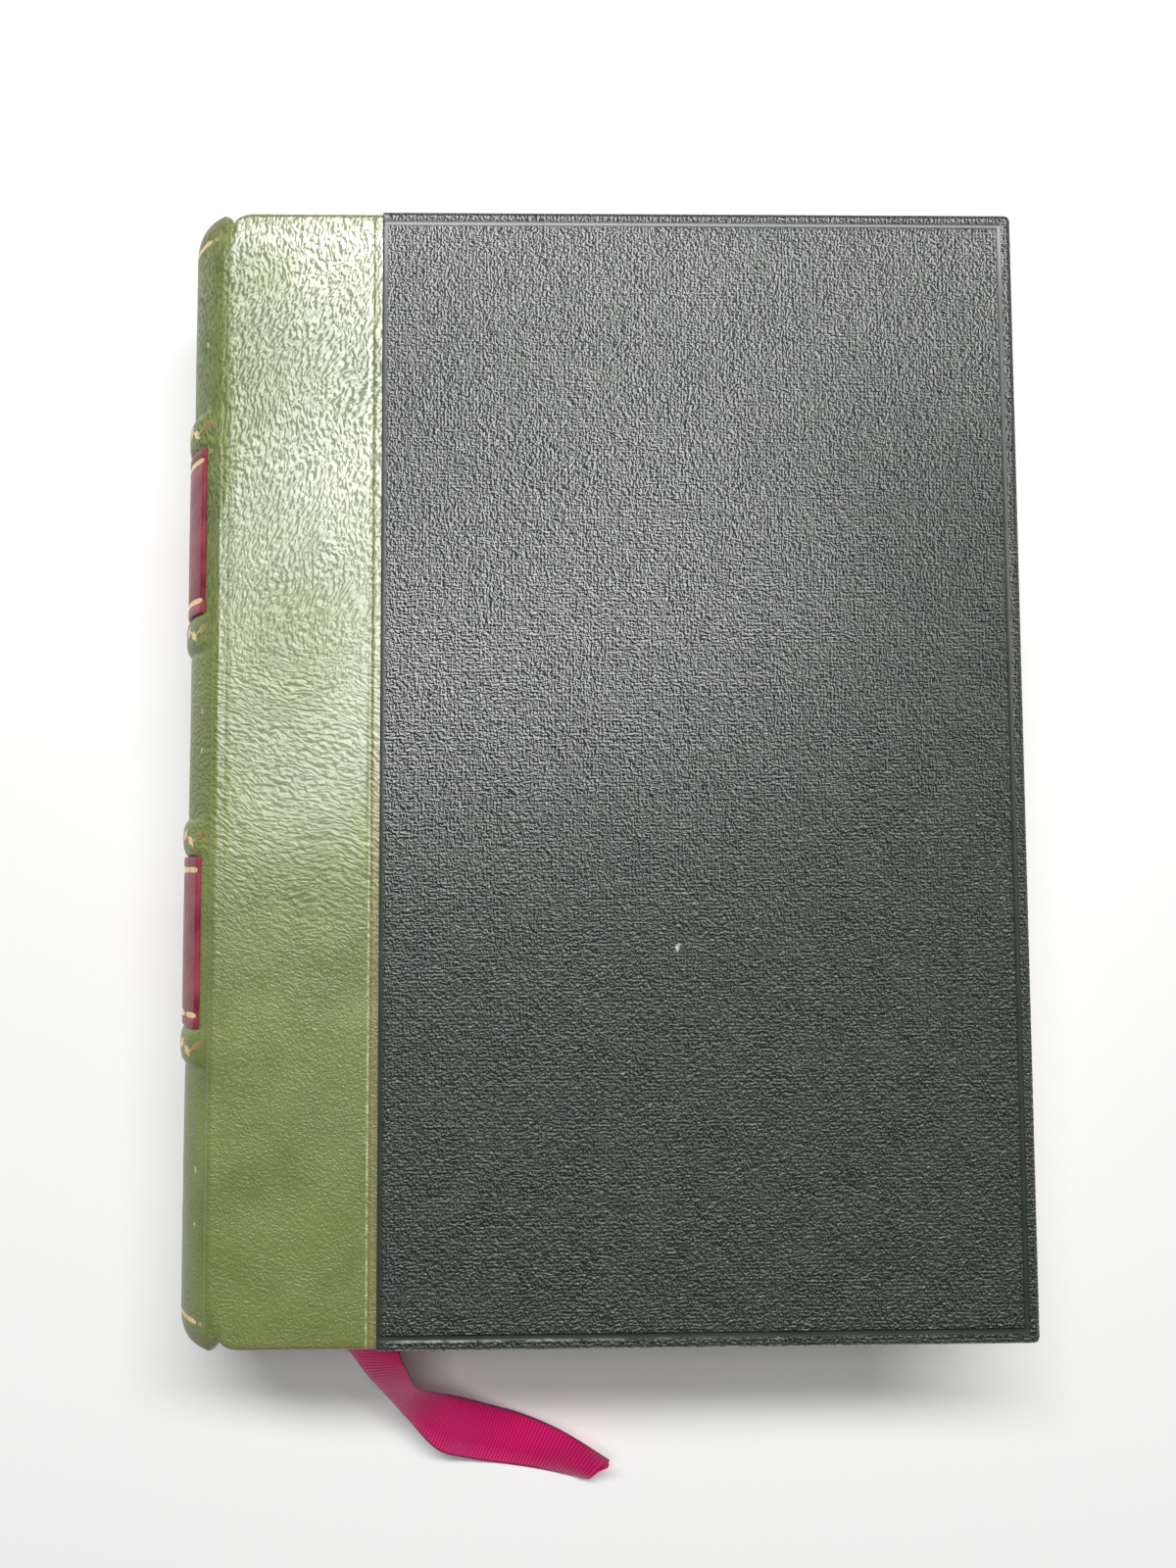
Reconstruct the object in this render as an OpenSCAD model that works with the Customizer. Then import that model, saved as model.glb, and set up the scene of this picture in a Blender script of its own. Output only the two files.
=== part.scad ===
/* [Overall] */
// Length of a cover from the joint to the fore-edge
cover_w = 149; // [110:1:220]
// Height of a cover from head to tail
cover_h = 212; // [160:1:320]
// Thickness of the closed book
book_t = 36; // [28:0.5:60]
// How far the spine bulges beyond the joints
spine_bulge = 11.2; // [7:0.2:13]

/* [Covers] */
// Thickness of the board
board_t = 2.6; // [1.8:0.1:3.2]
// Thickness of the side cloth
cloth_t = 0.7; // [0.5:0.05:0.9]
// Thickness of the leather on the board, pared thin
pared_t = 0.4; // [0.3:0.05:0.5]
// Thickness of the turned-in margin inside a cover
turn_in_t = 0.3; // [0.2:0.05:0.5]
// Width of the turned-in margin inside a cover
turn_in_w = 14; // [8:1:20]
// Thickness of the paper pasted inside a cover
pastedown_t = 0.2; // [0.15:0.05:0.4]
// Margin of the turn-in that the pasted paper leaves bare
pastedown_margin = 4.5; // [3:0.5:7]
// Width of the leather that runs from the joint over the board
leather_w = 28.5; // [20:0.5:50]
// How far the cloth laps over the leather
lap_w = 2.5; // [1.5:0.1:4]
// Radius of the covered board's outer edges
edge_r = 1; // [0.8:0.05:1.2]
// Radius of the fore-edge corners seen from above
corner_r = 1.2; // [0.6:0.1:3]
// Length of the cut-back corner at the joint
back_corner_w = 3.9; // [2:0.1:6]
// Depth of the cut-back corner at the joint
back_corner_h = 1.9; // [1:0.1:3]
// Width of the rounding that sinks a cover's face into the joint
joint_round_w = 1.2; // [0.8:0.1:3]
// Depth of the joint's crease below a cover's leather
joint_sink = 0.3; // [0.2:0.1:0.8]
// Width of the spine's leather that lies level beside a joint
shoulder_w = 1.4; // [0.8:0.1:2]

/* [Tooled lines] */
// Width of the blind line near the cloth's edges
cloth_line_w = 1.4; // [0.8:0.1:2]
// Distance from the cloth's edge to the blind line
cloth_line_inset = 1.8; // [1.4:0.1:5]
// Depth of the blind line in the cloth
cloth_line_d = 0.15; // [0.1:0.01:0.2]
// Width of the blind line on the leather side
leather_line_w = 0.5; // [0.3:0.1:1.2]
// Distance from the leather's edge to its blind line
leather_line_inset = 1.6; // [1:0.1:5]
// Depth of the blind line in the leather side
leather_line_d = 0.15; // [0.1:0.01:0.2]
// Width of a gilt line on the spine
gilt_w = 1.2; // [0.6:0.1:2]
// Depth of a gilt line pressed into the spine
gilt_d = 0.12; // [0.08:0.01:0.2]
// Distance of the head and tail gilt lines from the cap's top
gilt_inset = 4.8; // [4:0.1:8]

/* [Pages] */
// Overhang of the covers past the pages at head, tail and fore-edge
square_w = 3; // [2:0.25:5]
// Depth of the hollow fore-edge
fore_hollow = 6.5; // [4:0.5:10]
// Thickness of a free endpaper
flyleaf_t = 0.25; // [0.15:0.05:0.5]
// Gap between a closed cover and its free endpaper
cover_gap = 0.3; // [0.2:0.05:0.5]
// Thickness of the paper that lines the joint's two faces
joint_paper_t = 0.12; // [0.08:0.01:0.15]

/* [Spine] */
// Thickness of the spine leather
spine_leather_t = 0.8; // [0.6:0.1:1.2]
// Thickness of the linen and paper lining under the leather
lining_t = 0.5; // [0.3:0.1:1]
// Height of the headcaps past the covers' head and tail
cap_rise = 1; // [0.4:0.1:1.5]
// Length of the headcap's rounding along the spine
cap_len = 5; // [3.5:0.25:6]
// Depth of the headcap's rounding towards the pages
cap_depth = 2.1; // [1.5:0.1:2.5]
// Width of the headcap's lip over the endband
cap_lip = 3.4; // [3:0.1:4]
// Distance between the raised bands
band_pitch = 39.05; // [30:0.05:60]
// Distance from the cover's head to the first raised band
band_start = 41.2; // [30:0.1:60]
// Width of a raised band at its foot
band_w = 6.8; // [4:0.1:9]
// Height of a raised band
band_rise = 0.9; // [0.5:0.05:1.5]
// Angle from the spine's middle at which a band dies into the joint
band_end_angle = 57; // [50:1:58]
// Thickness of a spine label
label_t = 0.75; // [0.3:0.05:0.9]
// Gap between a label and the bands beside it
label_gap = 0.2; // [0.1:0.05:0.6]
// Angle from the spine's middle at which a label ends
label_end_angle = 50; // [40:1:52]
// Distance from a label's end to its gilt line
label_line_inset = 2.4; // [1:0.1:5]
// Thickness of an endband
endband_w = 1.6; // [1.2:0.1:2]
// Height of an endband above the pages
endband_h = 1.5; // [1:0.1:1.6]

/* [Ribbon marker] */
// Width of the ribbon
ribbon_w = 11.5; // [6:0.5:14]
// Thickness of the ribbon
ribbon_t = 0.3; // [0.2:0.05:0.5]
// Clearance between the ribbon and the leaves, each side
ribbon_gap = 0.3; // [0.2:0.05:0.5]
// Distance from the joint to the ribbon where it leaves the tail
ribbon_exit = 25; // [15:1:60]
// Height of the ribbon between the leaves above the back cover's face
ribbon_z = 21; // [10:1:22]
// Gap between the two covers and spine at a joint
joint_gap = 0.3; // [0.2:0.05:0.5]

/* [Hidden] */

// A number larger than the book, for cuts that run right through
big = 2 * (cover_h + cover_w);
// A hair's breadth, for cuts that have to pass a face
hair = 0.01;

// Places: the origin is the centre of the back cover's outer face
joint_x = -cover_w / 2;
fore_x = cover_w / 2;
head_y = cover_h / 2;
mid_z = book_t / 2;
leaf_h = cover_h - 2 * square_w;
leaf_y = leaf_h / 2;
leaf_x = fore_x - square_w;

// A cover's layers, measured inwards from its outer face
leather_out = cloth_t - pared_t;
board_out = cloth_t;
board_in = board_out + board_t;
turn_in_in = board_in + turn_in_t;
cover_t = turn_in_in + pastedown_t;
// Rounding of the bare board and of the turned-in edge inside
board_edge_r = board_t / 9;
turned_r = 2 * turn_in_t;
block_z0 = cover_t + cover_gap;
block_z1 = book_t - block_z0;

// Room for the glue between the lining and the leather
glue_gap = 0.05;
// The spine is an arc from the crease of one joint to the crease of the other
crease_z = book_t / 2 - leather_out - joint_sink;
spine_r = (pow(crease_z, 2) + pow(spine_bulge, 2)) / (2 * spine_bulge);
spine_x = joint_x + spine_r - spine_bulge;
leather_r = spine_r - spine_leather_t;
leaf_r = leather_r - lining_t - glue_gap;
joint_side = joint_x - joint_gap / 2;
shoulder_x = joint_x - joint_gap;
// Half the angle of the turned pieces, a little past the joints
turn_angle = acos((spine_r - spine_bulge) / spine_r) + 2;

// Headcaps, whose corners at the joints meet the boards' cut-back corners
endband_gap = 0.4;
cap_y = head_y + cap_rise;
lip_y = leaf_y + endband_h + endband_gap;
lip_r = spine_r - cap_lip;
cap_corner_w = back_corner_w * 1.15;
cap_corner_y = head_y - back_corner_h - endband_gap;
cap_corner_h = cap_y - cap_corner_y + endband_gap;

// Where the leather that turns down from a joint's level part meets the spine's arc
shoulder_turn = [shoulder_w * 1.2, 2.75 * spine_leather_t];

// Bands and labels along the spine
band_count = 4;
function band_y(i) = head_y - band_start - i * band_pitch;
label_len = band_pitch - band_w - 2 * label_gap;
function label_y(i) = (band_y(i) + band_y(i + 1)) / 2;
strip_w = band_w - 2 * spine_leather_t;
// How far a band's ridge starts below the leather's face, so that it dies away in it
band_sink = 0.06;
// Half the angle of an endband, which ends short of the shoulders
endband_angle = 53;

// Ribbon between the leaves: it starts inside the spine and slants to its exit
ribbon_top = [joint_x - ribbon_w / 5, leaf_y - ribbon_w / 2];
ribbon_end = [joint_x + ribbon_exit, -leaf_y];
ribbon_run = norm(ribbon_end - ribbon_top);
ribbon_slant = atan2(ribbon_end[0] - ribbon_top[0], ribbon_top[1] - ribbon_end[1]);
ribbon_side = ribbon_w / 2 * [cos(ribbon_slant), sin(ribbon_slant), 0];
ribbon_top_mid = [ribbon_top[0], ribbon_top[1], ribbon_z];
ribbon_end_mid = [ribbon_end[0], ribbon_end[1], ribbon_z];
// Left and right edges of the free end, from where the ribbon leaves the pages:
// x and y in ribbon widths, and the height as a share of ribbon_z above the table
ribbon_fall = [
    [[-0.5, -0.65, 0.91], [0.48, -0.56, 1.01]],
    [[-0.36, -1, 0.77], [0.52, -0.84, 1.02]],
    [[-0.13, -1.43, 0.66], [0.62, -1.11, 0.98]],
    [[0.17, -1.92, 0.5], [0.73, -1.45, 0.87]],
    [[0.5, -2.42, 0.37], [0.92, -1.69, 0.67]],
    [[0.98, -3.02, 0.27], [1.34, -2, 0.39]],
    [[1.51, -3.33, 0.1], [1.91, -2.31, 0.2]],
    [[2.15, -3.5, 0.02], [2.51, -2.57, 0.1]],
    [[2.83, -3.61, 0.02], [3.22, -2.77, 0.23]],
    [[3.62, -3.79, 0.02], [4.03, -3.15, 0.37]]
];
function ribbon_drop(p) =
    [ribbon_end[0] + ribbon_w * p[0], ribbon_end[1] + ribbon_w * p[1], ribbon_z * p[2]];
ribbon_edges = concat(
    [[ribbon_top_mid - ribbon_side, ribbon_top_mid + ribbon_side]],
    [[ribbon_end_mid - ribbon_side, ribbon_end_mid + ribbon_side]],
    [for (pair = ribbon_fall) [ribbon_drop(pair[0]), ribbon_drop(pair[1])]]
);

// A quarter of an ellipse that rises from [0, 0] to [w, h], for corners and caps
function quarter(w, h, steps = 6) =
    [for (i = [0:steps]) let (a = 90 * i / steps) [w * (1 - cos(a)), h * sin(a)]];

// Part of a circle as points
function arc(x, y, r, a0, a1, steps = 4) =
    [for (i = [0:steps]) let (a = a0 + (a1 - a0) * i / steps) [x + r * cos(a), y + r * sin(a)]];

// The same points mirrored across the x axis, in the opposite order
function mirrored(points) =
    [for (i = [len(points) - 1:-1:0]) [points[i][0], -points[i][1]]];

// A section drawn in x and z, run along y from tail to head
module along_y(length) {
    rotate([90, 0, 0]) linear_extrude(length, center = true) children();
}

// A section drawn in y and z, run along x from joint to fore-edge
module along_x(length) {
    rotate([90, 0, 90]) linear_extrude(length, center = true) children();
}

// Covers. In the modules of this section x runs from the joint to the fore-edge,
// y from tail to head, and z inwards from the cover's outer face.

// A board-shaped slab, inset from the outline of the covered board
module slab(inset, z0, z1, outer_r, inner_r) {
    x0 = joint_gap / 2 + joint_paper_t;
    x1 = cover_w - inset;
    hh = head_y - inset;
    r = max(corner_r - inset, board_edge_r);
    outline = concat(
        [for (p = quarter(back_corner_w, back_corner_h)) [x0 + p[0], hh - back_corner_h + p[1]]],
        arc(x1 - r, hh - r, r, 90, 0)
    );
    fore_section = concat(
        [for (p = quarter(joint_round_w, joint_sink)) [x0 + p[0], z0 + joint_sink - p[1]]],
        arc(x1 - outer_r, z0 + outer_r, outer_r, -90, 0),
        arc(x1 - inner_r, z1 - inner_r, inner_r, 0, 90),
        [[x0, z1]]
    );
    head_section = concat(
        arc(hh - outer_r, z0 + outer_r, outer_r, -90, 0),
        arc(hh - inner_r, z1 - inner_r, inner_r, 0, 90)
    );
    tail_section = [for (i = [len(head_section) - 1:-1:0]) [-head_section[i][0], head_section[i][1]]];
    intersection() {
        linear_extrude(big, center = true) polygon(concat(outline, mirrored(outline)));
        along_y(big) polygon(fore_section);
        along_x(big) polygon(concat(head_section, tail_section));
    }
}

// The bare board
module board_solid() {
    slab(cloth_t, board_out, board_in, board_edge_r, board_edge_r);
}

// The space inside the turned-in margins, which the pasted paper fills
module turn_in_opening() {
    inner_x = cover_w - cloth_t - turn_in_w;
    inner_y = head_y - cloth_t - turn_in_w;
    translate([-hair, -inner_y, board_in]) cube([inner_x + hair, 2 * inner_y, turn_in_t + hair]);
}

// The leather that covers the board next to the joint, before its hollows are cut
module leather_slab() {
    intersection() {
        slab(leather_out, leather_out, turn_in_in, edge_r, turned_r);
        translate([0, -big / 2, 0]) cube([leather_w + lap_w, big, cover_t]);
    }
}

module cover_leather() {
    difference() {
        leather_slab();
        board_solid();
        turn_in_opening();
        translate([leather_w - leather_line_inset - leather_line_w, -big / 2, leather_out - cover_t])
            cube([leather_line_w, big, cover_t + leather_line_d]);
    }
}

module cover_cloth() {
    line_x = cover_w - cloth_line_inset;
    line_y = head_y - cloth_line_inset;
    difference() {
        slab(0, 0, turn_in_in, edge_r, turned_r);
        translate([-big, -big / 2, -cover_t]) cube([big + leather_w, big, 3 * cover_t]);
        leather_slab();
        board_solid();
        turn_in_opening();
        difference() {
            translate([0, -line_y, -cover_t]) cube([line_x, 2 * line_y, cover_t + cloth_line_d]);
            translate([-cover_t, cloth_line_w - line_y, -2 * cover_t])
                cube([line_x - cloth_line_w + cover_t, 2 * (line_y - cloth_line_w), 4 * cover_t]);
        }
    }
}

// The pasted paper fills the turned-in margins' opening, laps over the margins,
// and turns up the board's edge at the joint
module cover_pastedown() {
    sheet_y = head_y - pastedown_margin;
    edge_x = joint_gap / 2;
    edge_z = board_out + joint_sink + pared_t;
    intersection() {
        turn_in_opening();
        translate([edge_x, -big / 2, 0]) cube([big, big, turn_in_in]);
    }
    translate([edge_x, -sheet_y, turn_in_in])
        cube([cover_w - pastedown_margin - edge_x, 2 * sheet_y, pastedown_t]);
    translate([edge_x, -sheet_y, edge_z]) cube([joint_paper_t, 2 * sheet_y, cover_t - edge_z]);
}

// The front cover lies on top with its outer face up, the back cover mirrors it
module at_front() {
    translate([joint_x, 0, book_t]) mirror([0, 0, 1]) children();
}

module at_back() {
    translate([joint_x, 0, 0]) children();
}

module front_board() color("#8a8377") at_front() board_solid();
module front_leather() color("#7d8450") at_front() cover_leather();
module front_cloth() color("#33383a") at_front() cover_cloth();
module front_pastedown() color("#e6ddc6") at_front() cover_pastedown();
module back_board() color("#8a8377") at_back() board_solid();
module back_leather() color("#7d8450") at_back() cover_leather();
module back_cloth() color("#33383a") at_back() cover_cloth();
module back_pastedown() color("#e6ddc6") at_back() cover_pastedown();

// Pages. The leaves' spine edge is rounded and backed, so it spreads into two
// shoulders that the boards butt against, and the fore-edge is hollow to match.

// The space between the leaves that the ribbon lies in
module ribbon_slot() {
    slot_t = ribbon_t + 2 * ribbon_gap;
    slot_w = ribbon_w + 2 * ribbon_gap;
    translate([ribbon_top[0], ribbon_top[1], ribbon_z]) rotate([0, 0, ribbon_slant])
        translate([-slot_w / 2, -ribbon_run - leaf_h / 10, -slot_t / 2])
            cube([slot_w, ribbon_run + leaf_h / 10 + ribbon_gap, slot_t]);
}

module text_block() color("#e4d9bd") {
    half = mid_z - block_z0 - flyleaf_t;
    fore_r = (pow(half, 2) + pow(fore_hollow, 2)) / (2 * fore_hollow);
    difference() {
        along_y(leaf_h) difference() {
            union() {
                translate([shoulder_x - 1, mid_z - half]) square([leaf_x - shoulder_x + 1, 2 * half]);
                intersection() {
                    translate([spine_x, mid_z]) circle(leaf_r, $fn = 96);
                    translate([shoulder_x - book_t, 0]) square([book_t, book_t]);
                }
            }
            translate([leaf_x - fore_hollow + fore_r, mid_z]) circle(fore_r, $fn = 96);
        }
        ribbon_slot();
    }
}

// A free endpaper lies on the leaves and turns out along the shoulder.
// Here z runs outwards from the middle of the book's thickness.
module flyleaf() {
    shoulder_z = sqrt(pow(leaf_r, 2) - pow(spine_x - shoulder_x, 2));
    outer_z = mid_z - block_z0;
    translate([shoulder_x, -leaf_y, outer_z - flyleaf_t]) cube([leaf_x - shoulder_x, leaf_h, flyleaf_t]);
    translate([shoulder_x, -leaf_y, outer_z - flyleaf_t])
        cube([joint_paper_t, leaf_h, shoulder_z - outer_z + flyleaf_t]);
}

module front_flyleaf() color("#ece3cd") translate([0, 0, mid_z]) flyleaf();
module back_flyleaf() color("#ece3cd") translate([0, 0, mid_z]) mirror([0, 0, 1]) flyleaf();

// Ribbon marker: glued in near the head of the spine, it slants down between
// the leaves, leaves them at the tail and falls in a twist to the table.
function unit(v) = v / norm(v);
function ribbon_left(i) = ribbon_edges[i][0];
function ribbon_right(i) = ribbon_edges[i][1];
function ribbon_mid(i) = (ribbon_left(i) + ribbon_right(i)) / 2;
function ribbon_thick(i) =
    let (
        last = len(ribbon_edges) - 1,
        ahead = ribbon_mid(min(i + 1, last)) - ribbon_mid(max(i - 1, 0)),
        across = ribbon_right(i) - ribbon_left(i)
    ) unit(cross(ahead, across)) * ribbon_t / 2;

module ribbon_marker() color("#c8185f") {
    count = len(ribbon_edges);
    points = [
        for (i = [0:count - 1]) let (n = ribbon_thick(i))
            each [ribbon_left(i) + n, ribbon_right(i) + n, ribbon_right(i) - n, ribbon_left(i) - n]
    ];
    // Both faces are split along the same diagonal, so that they stay apart where the ribbon twists
    sides = [
        for (i = [0:count - 2], k = [0:3]) let (a = 4 * i + k, b = 4 * i + (k + 1) % 4)
            each k == 2 ? [[a, b, a + 4], [b, b + 4, a + 4]] : [[a, b, b + 4], [a, b + 4, a + 4]]
    ];
    last = 4 * (count - 1);
    ends = [[3, 2, 1], [3, 1, 0], [last, last + 1, last + 2], [last, last + 2, last + 3]];
    polyhedron(points, concat(sides, ends));
}

// Spine. Each piece is a profile of radius and length turned about the spine's
// own axis, which runs along y at spine_x and mid_z.
module spine_turn(half_angle) {
    translate([spine_x, 0, mid_z]) rotate([-90, 0, 0]) rotate([0, 0, 180 - half_angle])
        rotate_extrude(angle = 2 * half_angle, $fn = 96) children();
}

// Keeps what lies left of a plane across the joints
module left_of(x) {
    intersection() {
        children();
        translate([x - book_t, -big / 2, -1]) cube([book_t, big, book_t + 2]);
    }
}

module spine_lining() color("#d8cfb8") {
    left_of(shoulder_x) spine_turn(turn_angle)
        translate([leaf_r, -leaf_y]) square([lining_t, leaf_h]);
}

// Planes that touch the spine near the joints, below which the bands die away
module band_fade(depth) {
    reach = spine_r;
    flat = spine_r - depth;
    away = [-cos(band_end_angle), sin(band_end_angle)];
    back = [-sin(band_end_angle), -cos(band_end_angle)];
    upper = [[0, 0], flat * away, flat * away + reach * back];
    intersection() {
        children();
        translate([spine_x, 0, mid_z]) along_y(big) polygon(concat(upper, mirrored(upper)));
    }
}

// The strip of board under the leather that makes a raised band
module raised_band(i) color("#b9a98a") {
    foot = strip_w / 2;
    band_fade(spine_leather_t + band_sink) spine_turn(band_end_angle) translate([0, band_y(i)])
        polygon([
            [leather_r, -foot], [leather_r + band_rise / 2, -foot], [leather_r + band_rise, -foot * 0.7],
            [leather_r + band_rise, foot * 0.7], [leather_r + band_rise / 2, foot], [leather_r, foot]
        ]);
}

module raised_band_1() raised_band(0);
module raised_band_2() raised_band(1);
module raised_band_3() raised_band(2);
module raised_band_4() raised_band(3);

// The leather drawn over a band, a soft ridge across the spine
module leather_ridge(i) {
    steps = 10;
    ridge = [
        for (k = [0:steps]) let (t = 2 * k / steps - 1)
            [spine_r - band_sink + (band_rise + band_sink) * pow(1 - pow(abs(t), 3), 0.6), band_w * t / 2]
    ];
    root = spine_r - spine_leather_t / 2;
    band_fade(2 * band_sink) spine_turn(band_end_angle) translate([0, band_y(i)])
        polygon(concat([[root, -band_w / 2]], ridge, [[root, band_w / 2]]));
}

// Half of the leather's profile, from mid-length to the headcap and its lip
function cap_profile(soft = spine_leather_t / 2) = concat(
    [[leather_r, 0], [leather_r, lip_y], [lip_r + soft / 2, lip_y], [lip_r, lip_y + soft]],
    [[lip_r + soft / 4, cap_y - soft], [lip_r + soft, cap_y - soft / 4]],
    [[spine_r - cap_depth - soft, cap_y]],
    [for (p = quarter(cap_len, cap_depth)) [spine_r - cap_depth + p[1], cap_y - p[0]]],
    [[spine_r, 0]]
);

// The headcaps fall away to the cut-back corners at the joints
module cap_outline() {
    corner = [for (p = quarter(cap_corner_w, cap_corner_h)) [joint_side - p[0], cap_corner_y + p[1]]];
    top = cap_corner_y + cap_corner_h;
    half = concat(corner, [[joint_side - book_t, top]]);
    intersection() {
        children();
        linear_extrude(big, center = true) polygon(concat(half, mirrored(half)));
    }
}

// The leather lies level with a cover's edge beside the joint, and then turns down.
// Here z runs outwards from the middle of the book's thickness.
module spine_shoulder() {
    edge_x = joint_side - shoulder_w;
    foot = [edge_x - shoulder_turn[0], crease_z - shoulder_turn[1]];
    root_r = spine_r - spine_leather_t / 2;
    foot_angle = atan2(foot[1], spine_x - foot[0]);
    joint_angle = acos((spine_x - joint_side) / root_r);
    turned = [for (p = quarter(shoulder_turn[0], shoulder_turn[1])) foot + p];
    root = arc(spine_x, 0, root_r, 180 - joint_angle, 180 - foot_angle);
    drop = 2 * spine_leather_t;
    fall = [for (p = quarter(cap_len, drop)) [p[0] - cap_corner_y, crease_z - drop + p[1]]];
    rise = [for (i = [len(fall) - 1:-1:0]) [-fall[i][0], fall[i][1]]];
    intersection() {
        along_y(big) polygon(concat(turned, [[joint_side, crease_z]], root));
        along_x(big) polygon(concat([[-cap_corner_y, 0]], fall, rise, [[cap_corner_y, 0]]));
    }
}

module gilt_line(y, r) {
    translate([r - gilt_d, y - gilt_w / 2]) square([1, gilt_w]);
}

module spine_leather() color("#7d8450") {
    profile = cap_profile();
    difference() {
        cap_outline() union() {
            spine_turn(turn_angle) difference() {
                polygon(concat(profile, mirrored(profile)));
                for (side = [-1, 1]) gilt_line(side * (cap_y - gilt_inset), spine_r);
            }
            for (i = [0:band_count - 1]) leather_ridge(i);
            for (side = [0, 1]) translate([0, 0, mid_z]) mirror([0, 0, side]) spine_shoulder();
        }
        for (i = [0:band_count - 1]) raised_band(i);
    }
}

// A leather label that fills a panel between two bands
module label(i) color("#7c2f3a") {
    half = label_len / 2;
    soft = label_t / 3;
    spine_turn(label_end_angle) translate([0, label_y(i)]) difference() {
        polygon([
            [spine_r, -half], [spine_r + label_t - soft, -half], [spine_r + label_t, soft - half],
            [spine_r + label_t, half - soft], [spine_r + label_t - soft, half], [spine_r, half]
        ]);
        for (side = [-1, 1]) gilt_line(side * (half - label_line_inset), spine_r + label_t);
    }
}

module upper_label() label(0);
module lower_label() label(band_count - 2);

// The sewn endband that sits on the pages' edge behind the headcap
module endband(side) color("#c9b68c") {
    round_h = endband_w / 2;
    spine_turn(endband_angle) translate([leaf_r - endband_w, side * leaf_y]) scale([1, side])
        polygon(concat([[0, 0], [endband_w, 0]],
            arc(round_h, endband_h - round_h, round_h, 0, 180, 8)));
}

module head_endband() endband(1);
module tail_endband() endband(-1);

text_block();
front_flyleaf();
back_flyleaf();
ribbon_marker();
spine_lining();
raised_band_1();
raised_band_2();
raised_band_3();
raised_band_4();
spine_leather();
upper_label();
lower_label();
head_endband();
tail_endband();
front_board();
front_leather();
front_cloth();
front_pastedown();
back_board();
back_leather();
back_cloth();
back_pastedown();
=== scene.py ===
"""A quarter-leather hardback book lying on its back cover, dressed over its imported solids."""
import math
import random

import bmesh
import bpy
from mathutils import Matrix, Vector, noise


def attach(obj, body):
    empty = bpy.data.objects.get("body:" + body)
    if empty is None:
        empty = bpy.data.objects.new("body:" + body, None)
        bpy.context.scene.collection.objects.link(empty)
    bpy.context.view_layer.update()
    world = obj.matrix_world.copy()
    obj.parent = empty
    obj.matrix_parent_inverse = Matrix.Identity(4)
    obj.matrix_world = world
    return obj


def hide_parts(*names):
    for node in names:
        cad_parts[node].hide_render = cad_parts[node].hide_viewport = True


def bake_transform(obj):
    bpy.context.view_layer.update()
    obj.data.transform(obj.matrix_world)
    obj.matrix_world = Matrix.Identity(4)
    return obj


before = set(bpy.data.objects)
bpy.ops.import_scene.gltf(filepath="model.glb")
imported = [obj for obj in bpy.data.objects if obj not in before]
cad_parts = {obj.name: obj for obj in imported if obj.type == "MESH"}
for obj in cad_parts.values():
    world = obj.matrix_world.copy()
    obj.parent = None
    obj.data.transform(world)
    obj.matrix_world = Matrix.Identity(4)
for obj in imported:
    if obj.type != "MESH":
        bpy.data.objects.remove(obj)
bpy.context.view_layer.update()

# Sizes are in millimetres, and each mesh is brought to metres when it is done.
# Places and widths inside a material are in metres, as its Object coordinates are.
MM = 0.001
# Two places closer than this are the same.
SAME = 0.001

# Covers
COVER_W = 149.0
HEAD_Y = 106.0
BOOK_T = 36.0
MID_Z = BOOK_T / 2
JOINT_X = -COVER_W / 2
FORE_X = COVER_W / 2
JOINT_GAP = 0.15
JOINT_SIDE = JOINT_X - JOINT_GAP
CLOTH_T = 0.7
PARED_T = 0.4
LEATHER_OUT = CLOTH_T - PARED_T
# The skins are this much thinner than the solids, and so stay clear of the boards.
SKIN_SPARE = 0.05
TURN_IN_IN = 3.6
TURN_IN_W = 14.0
LEATHER_W = 28.5
LEATHER_EDGE_X = JOINT_X + LEATHER_W
LEATHER_UNDER_CLOTH = 0.8
LEATHER_LINE_IN = 1.85
CLOTH_LINE_IN = 2.5
LEATHER_LINE_DEPTH = 0.08
CLOTH_LINE_DEPTH = 0.045
LAP_DEPTH = 0.12
CLOTH_THREAD = 0.67
BACK_CORNER = (3.9, 1.9)
CORNER_R = 1.2
EDGE_R = 1.0
TURNED_R = 0.6

# Spine
SPINE_BULGE = 11.2
CREASE_Z = BOOK_T / 2 - LEATHER_OUT - 0.3
SPINE_R = (CREASE_Z ** 2 + SPINE_BULGE ** 2) / (2 * SPINE_BULGE)
SPINE_X = JOINT_X + SPINE_R - SPINE_BULGE
LEATHER_T = 0.8
LINING_T = 0.5
GLUE_GAP = 0.05
LEAF_R = SPINE_R - LEATHER_T - LINING_T - GLUE_GAP
JOINT_ANGLE = math.acos((SPINE_X - JOINT_SIDE) / SPINE_R)
# The cover's leather sinks a little to the level leather beside the joint, on the spine.
JOINT_SINK = 0.03
JOINT_RUN = 0.8
SHOULDER_W = 1.4
SHOULDER_TURN = (1.68, 2.2)
SHOULDER_ARC = math.radians(13.5)
SHOULDER_TOP = BOOK_T / 2 - LEATHER_OUT - JOINT_SINK
SHOULDER_END_Y = 103.2
SHOULDER_FADE = 5
# The shoulder's worn crease starts above the middle. Each fold of it: its place, width and rise.
WORN_FROM_Y = 30
WORN_RUN = 25
SHOULDER_FOLDS = [(0, 0.2, 0.1), (0.5, 0.25, -0.12), (-0.5, 0.25, -0.08)]
# Away from its edges the leather is a little uneven.
UNEVEN_RISE = 0.1
EVEN_ANGLE = 0.2
EVEN_END_Y = 100
EVEN_RUN = 8

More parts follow.
